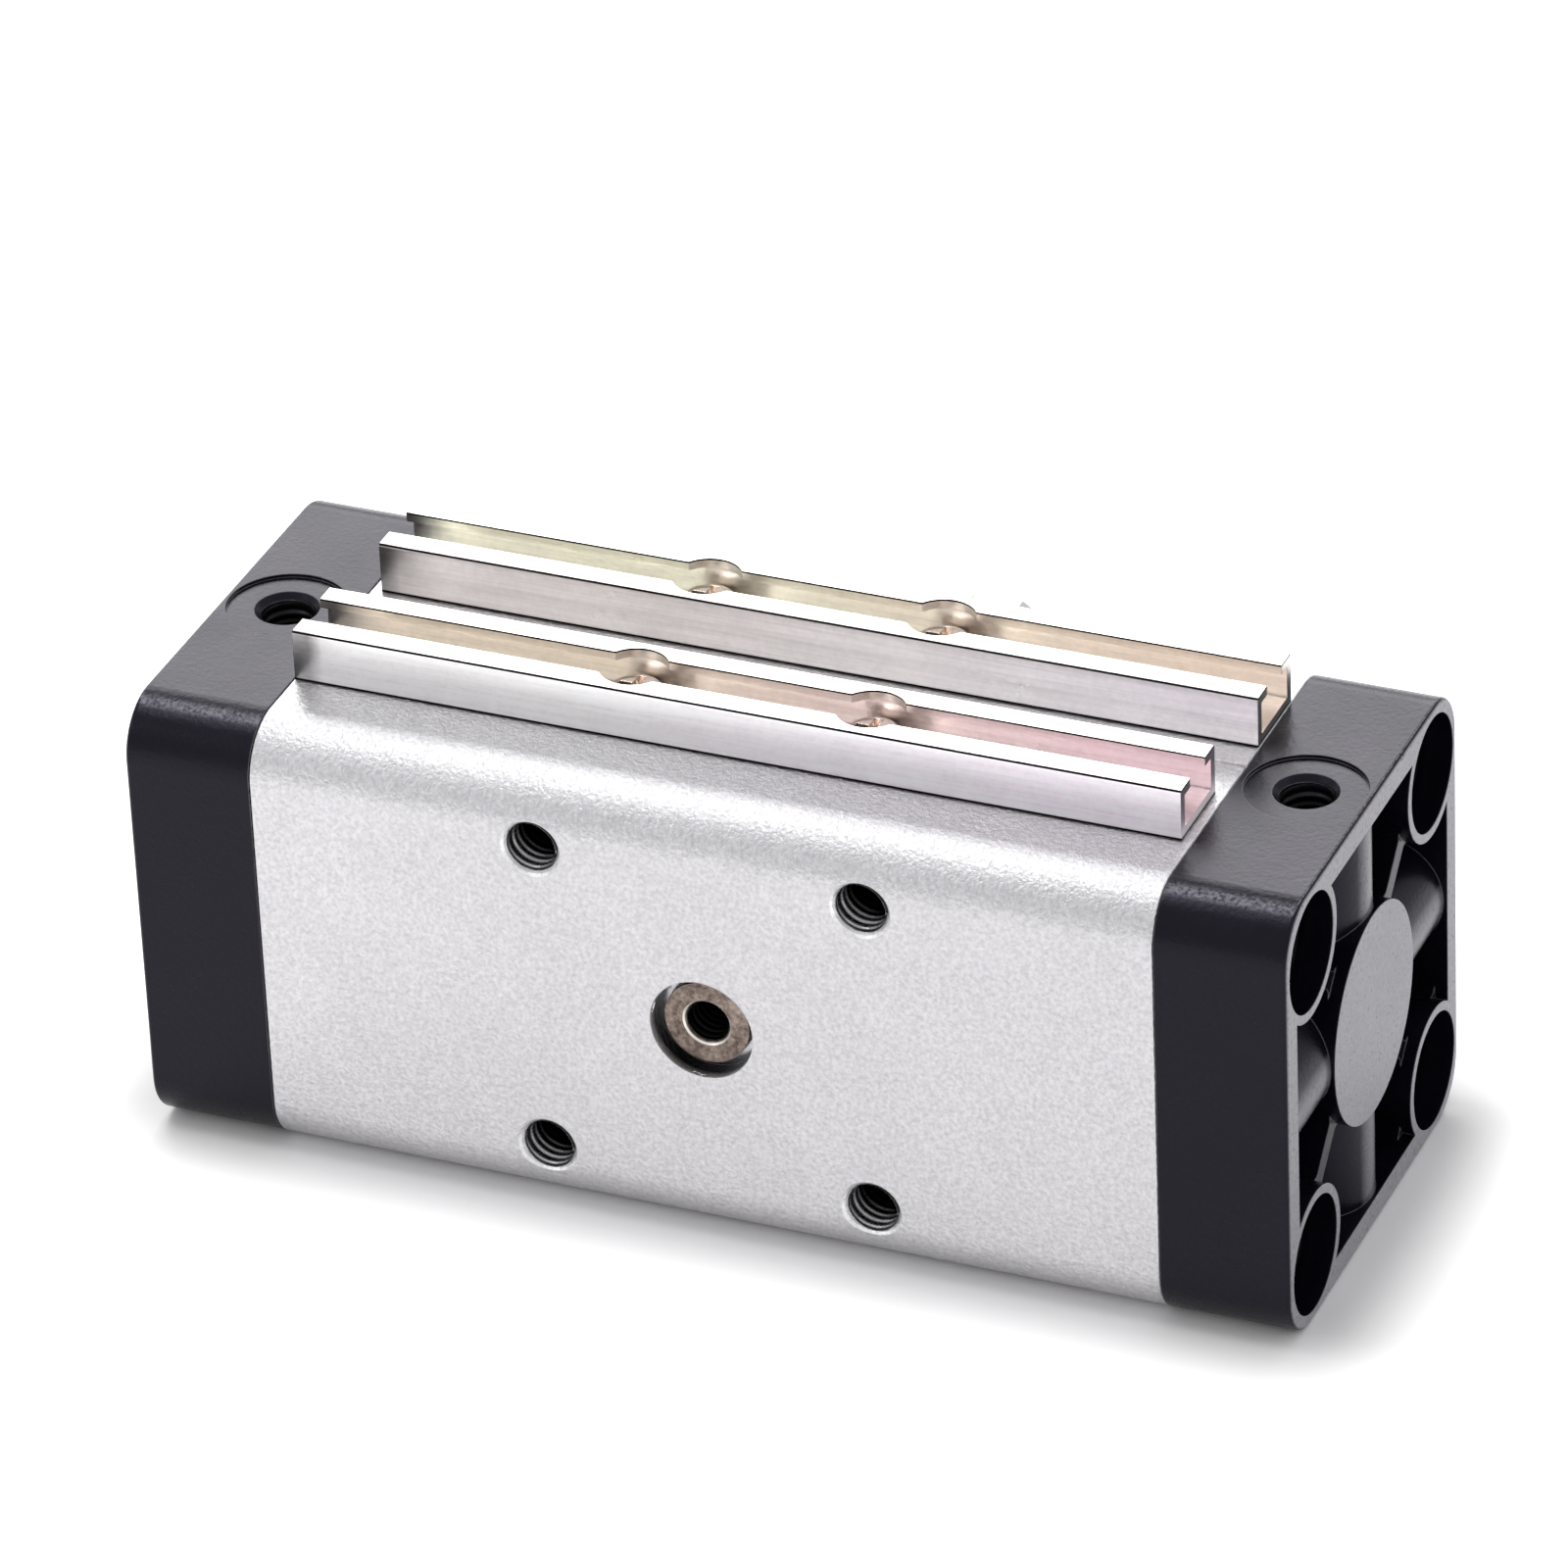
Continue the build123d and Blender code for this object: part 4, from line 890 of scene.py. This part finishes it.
@dataclass
class Studio:
    """Pale floor, soft lamps and the camera that took the photograph."""

    camera_mm: tuple[float, float, float] = (267.725, -607.102, 434.090)
    right: tuple[float, float, float] = (0.923226, 0.382313, -0.038610)
    down: tuple[float, float, float] = (0.168696, -0.493540, -0.853206)
    forward: tuple[float, float, float] = (-0.345247, 0.781188, -0.520144)
    lens_mm: float = 231.702
    sensor_mm: float = 36.0
    floor_m: float = 6.0
    footprint_m: tuple[float, float, float] = (0.0455, 0.0145, 0.0)
    glow: tuple[float, float] = (0.0, 0.58)
    glow_from_m: tuple[float, float] = (0.003, 0.013)
    mirrored_glow: float = 0.6
    room_strength: float = 0.76
    target: tuple[float, float, float] = (0.0, 0.0, AXIS_MM * MM)
    lamps: dict[str, tuple[tuple[float, float, float], float, float, float]] = field(default_factory=lambda: {
        "back_softbox": ((-0.42, 0.95, 0.62), 0.8, 0.55, 4.6),
        "overhead_softbox": ((-0.15, 0.1, 1.1), 0.7, 0.5, 1.2),
        "strip_lamp": ((-0.40, 0.03, 1.03), 0.6, 0.12, 7.8),
        "left_front_key": ((-0.9, -0.7, 0.75), 0.5, 0.5, 1.3),
        "right_fill": ((1.0, 0.1, 0.5), 0.5, 0.5, 1.2),
    })

    def camera(self) -> None:
        """Stand the camera where it was, fitted to the body's edges in the photograph."""
        data = bpy.data.cameras.new("photo_camera")
        data.lens, data.sensor_width, data.clip_start = self.lens_mm, self.sensor_mm, 0.01
        eye = bpy.data.objects.new("photo_camera", data)
        bpy.context.scene.collection.objects.link(eye)
        turn = Matrix((self.right, [-v for v in self.down], [-v for v in self.forward])).transposed().to_4x4()
        eye.matrix_world = Matrix.Translation(Vector(self.camera_mm) * MM) @ turn
        bpy.context.scene.camera = eye

    def floor(self) -> None:
        """Lay a wide pale floor that shows white to the camera and keeps its shadow, with a painted shadow where its
        glow fades near the body.
        """
        mesh = bpy.data.meshes.new("floor")
        reach = self.floor_m / 2
        corners = [(-reach, -reach, 0), (reach, -reach, 0), (reach, reach, 0), (-reach, reach, 0)]
        mesh.from_pydata(corners, [], [(0, 1, 2, 3)])
        floor = bpy.data.objects.new("floor", mesh)
        bpy.context.scene.collection.objects.link(floor)
        material = bpy.data.materials.new("white_table_card")
        material.use_nodes = True
        tree = material.node_tree
        tree.nodes.clear()
        rays = add(tree, "ShaderNodeLightPath").outputs
        mirrored = add(tree, "ShaderNodeMath", {0: rays["Is Glossy Ray"], 1: self.mirrored_glow},
                       operation="MULTIPLY").outputs[0]
        seen = add(tree, "ShaderNodeMath", {0: rays["Is Camera Ray"], 1: mirrored}, operation="MAXIMUM").outputs[0]
        seen = add(tree, "ShaderNodeMath", {0: seen, 1: rays["Is Transmission Ray"]}, operation="MAXIMUM").outputs[0]
        where = add(tree, "ShaderNodeTexCoord").outputs["Object"]
        folded = add(tree, "ShaderNodeVectorMath", {0: where}, operation="ABSOLUTE").outputs[0]
        beyond = add(tree, "ShaderNodeVectorMath", {0: folded, 1: self.footprint_m}, operation="SUBTRACT").outputs[0]
        beyond = add(tree, "ShaderNodeVectorMath", {0: beyond, 1: (0, 0, 0)}, operation="MAXIMUM").outputs[0]
        away = add(tree, "ShaderNodeVectorMath", {0: beyond}, operation="LENGTH").outputs["Value"]
        # Painted shadow: the glow fades to nothing close to the body's footprint, so the floor there stays darker.
        near, wide = self.glow
        start, end = self.glow_from_m
        glow_here = add(tree, "ShaderNodeMapRange", {"Value": away, "From Min": start, "From Max": end,
                                                     "To Min": near, "To Max": wide},
                        interpolation_type="SMOOTHSTEP").outputs[0]
        lift = add(tree, "ShaderNodeMath", {0: seen, 1: glow_here}, operation="MULTIPLY").outputs[0]
        card = add(tree, "ShaderNodeBsdfDiffuse", {"Color": linear("#efeeee")}).outputs[0]
        glow = add(tree, "ShaderNodeEmission", {"Color": linear("#ffffff"), "Strength": lift}).outputs[0]
        both = add(tree, "ShaderNodeAddShader", {0: card, 1: glow}).outputs[0]
        add(tree, "ShaderNodeOutputMaterial", {"Surface": both})
        mesh.materials.append(material)

    def light(self) -> None:
        """Hang the soft lamps and set a plain grey room round them."""
        for title, (place, width, height, radiance) in self.lamps.items():
            data = bpy.data.lights.new(title, "AREA")
            data.shape, data.size, data.size_y = "RECTANGLE", width, height
            data.energy = radiance * math.pi * width * height
            lamp = bpy.data.objects.new(title, data)
            bpy.context.scene.collection.objects.link(lamp)
            aim = Vector(self.target) - Vector(place)
            lamp.matrix_world = Matrix.Translation(place) @ aim.to_track_quat("-Z", "Y").to_matrix().to_4x4()
        world = bpy.data.worlds.new("grey_room")
        world.use_nodes = True
        back = world.node_tree.nodes["Background"]
        back.inputs["Color"].default_value = linear("#fbfbfd")
        back.inputs["Strength"].default_value = self.room_strength
        bpy.context.scene.world = world

    def build(self) -> None:
        """Set up camera, floor and light."""
        self.camera()
        self.floor()
        self.light()
        bpy.context.scene.view_settings.view_transform = "Standard"


def main() -> None:
    """Build the studio, dress the solids and add the grown pieces."""
    logging.basicConfig(level=logging.INFO, format="%(message)s")
    Studio().build()
    materials = {slot: finish.make() for slot, finish in SLOT_FINISHES.items()}
    outside = BodyAndCovers()
    outside.dress(materials)
    outside.threads()
    outside.knurls()
    outside.burrs()
    OutputShaft().thread()


if __name__ == "__main__":
    main()
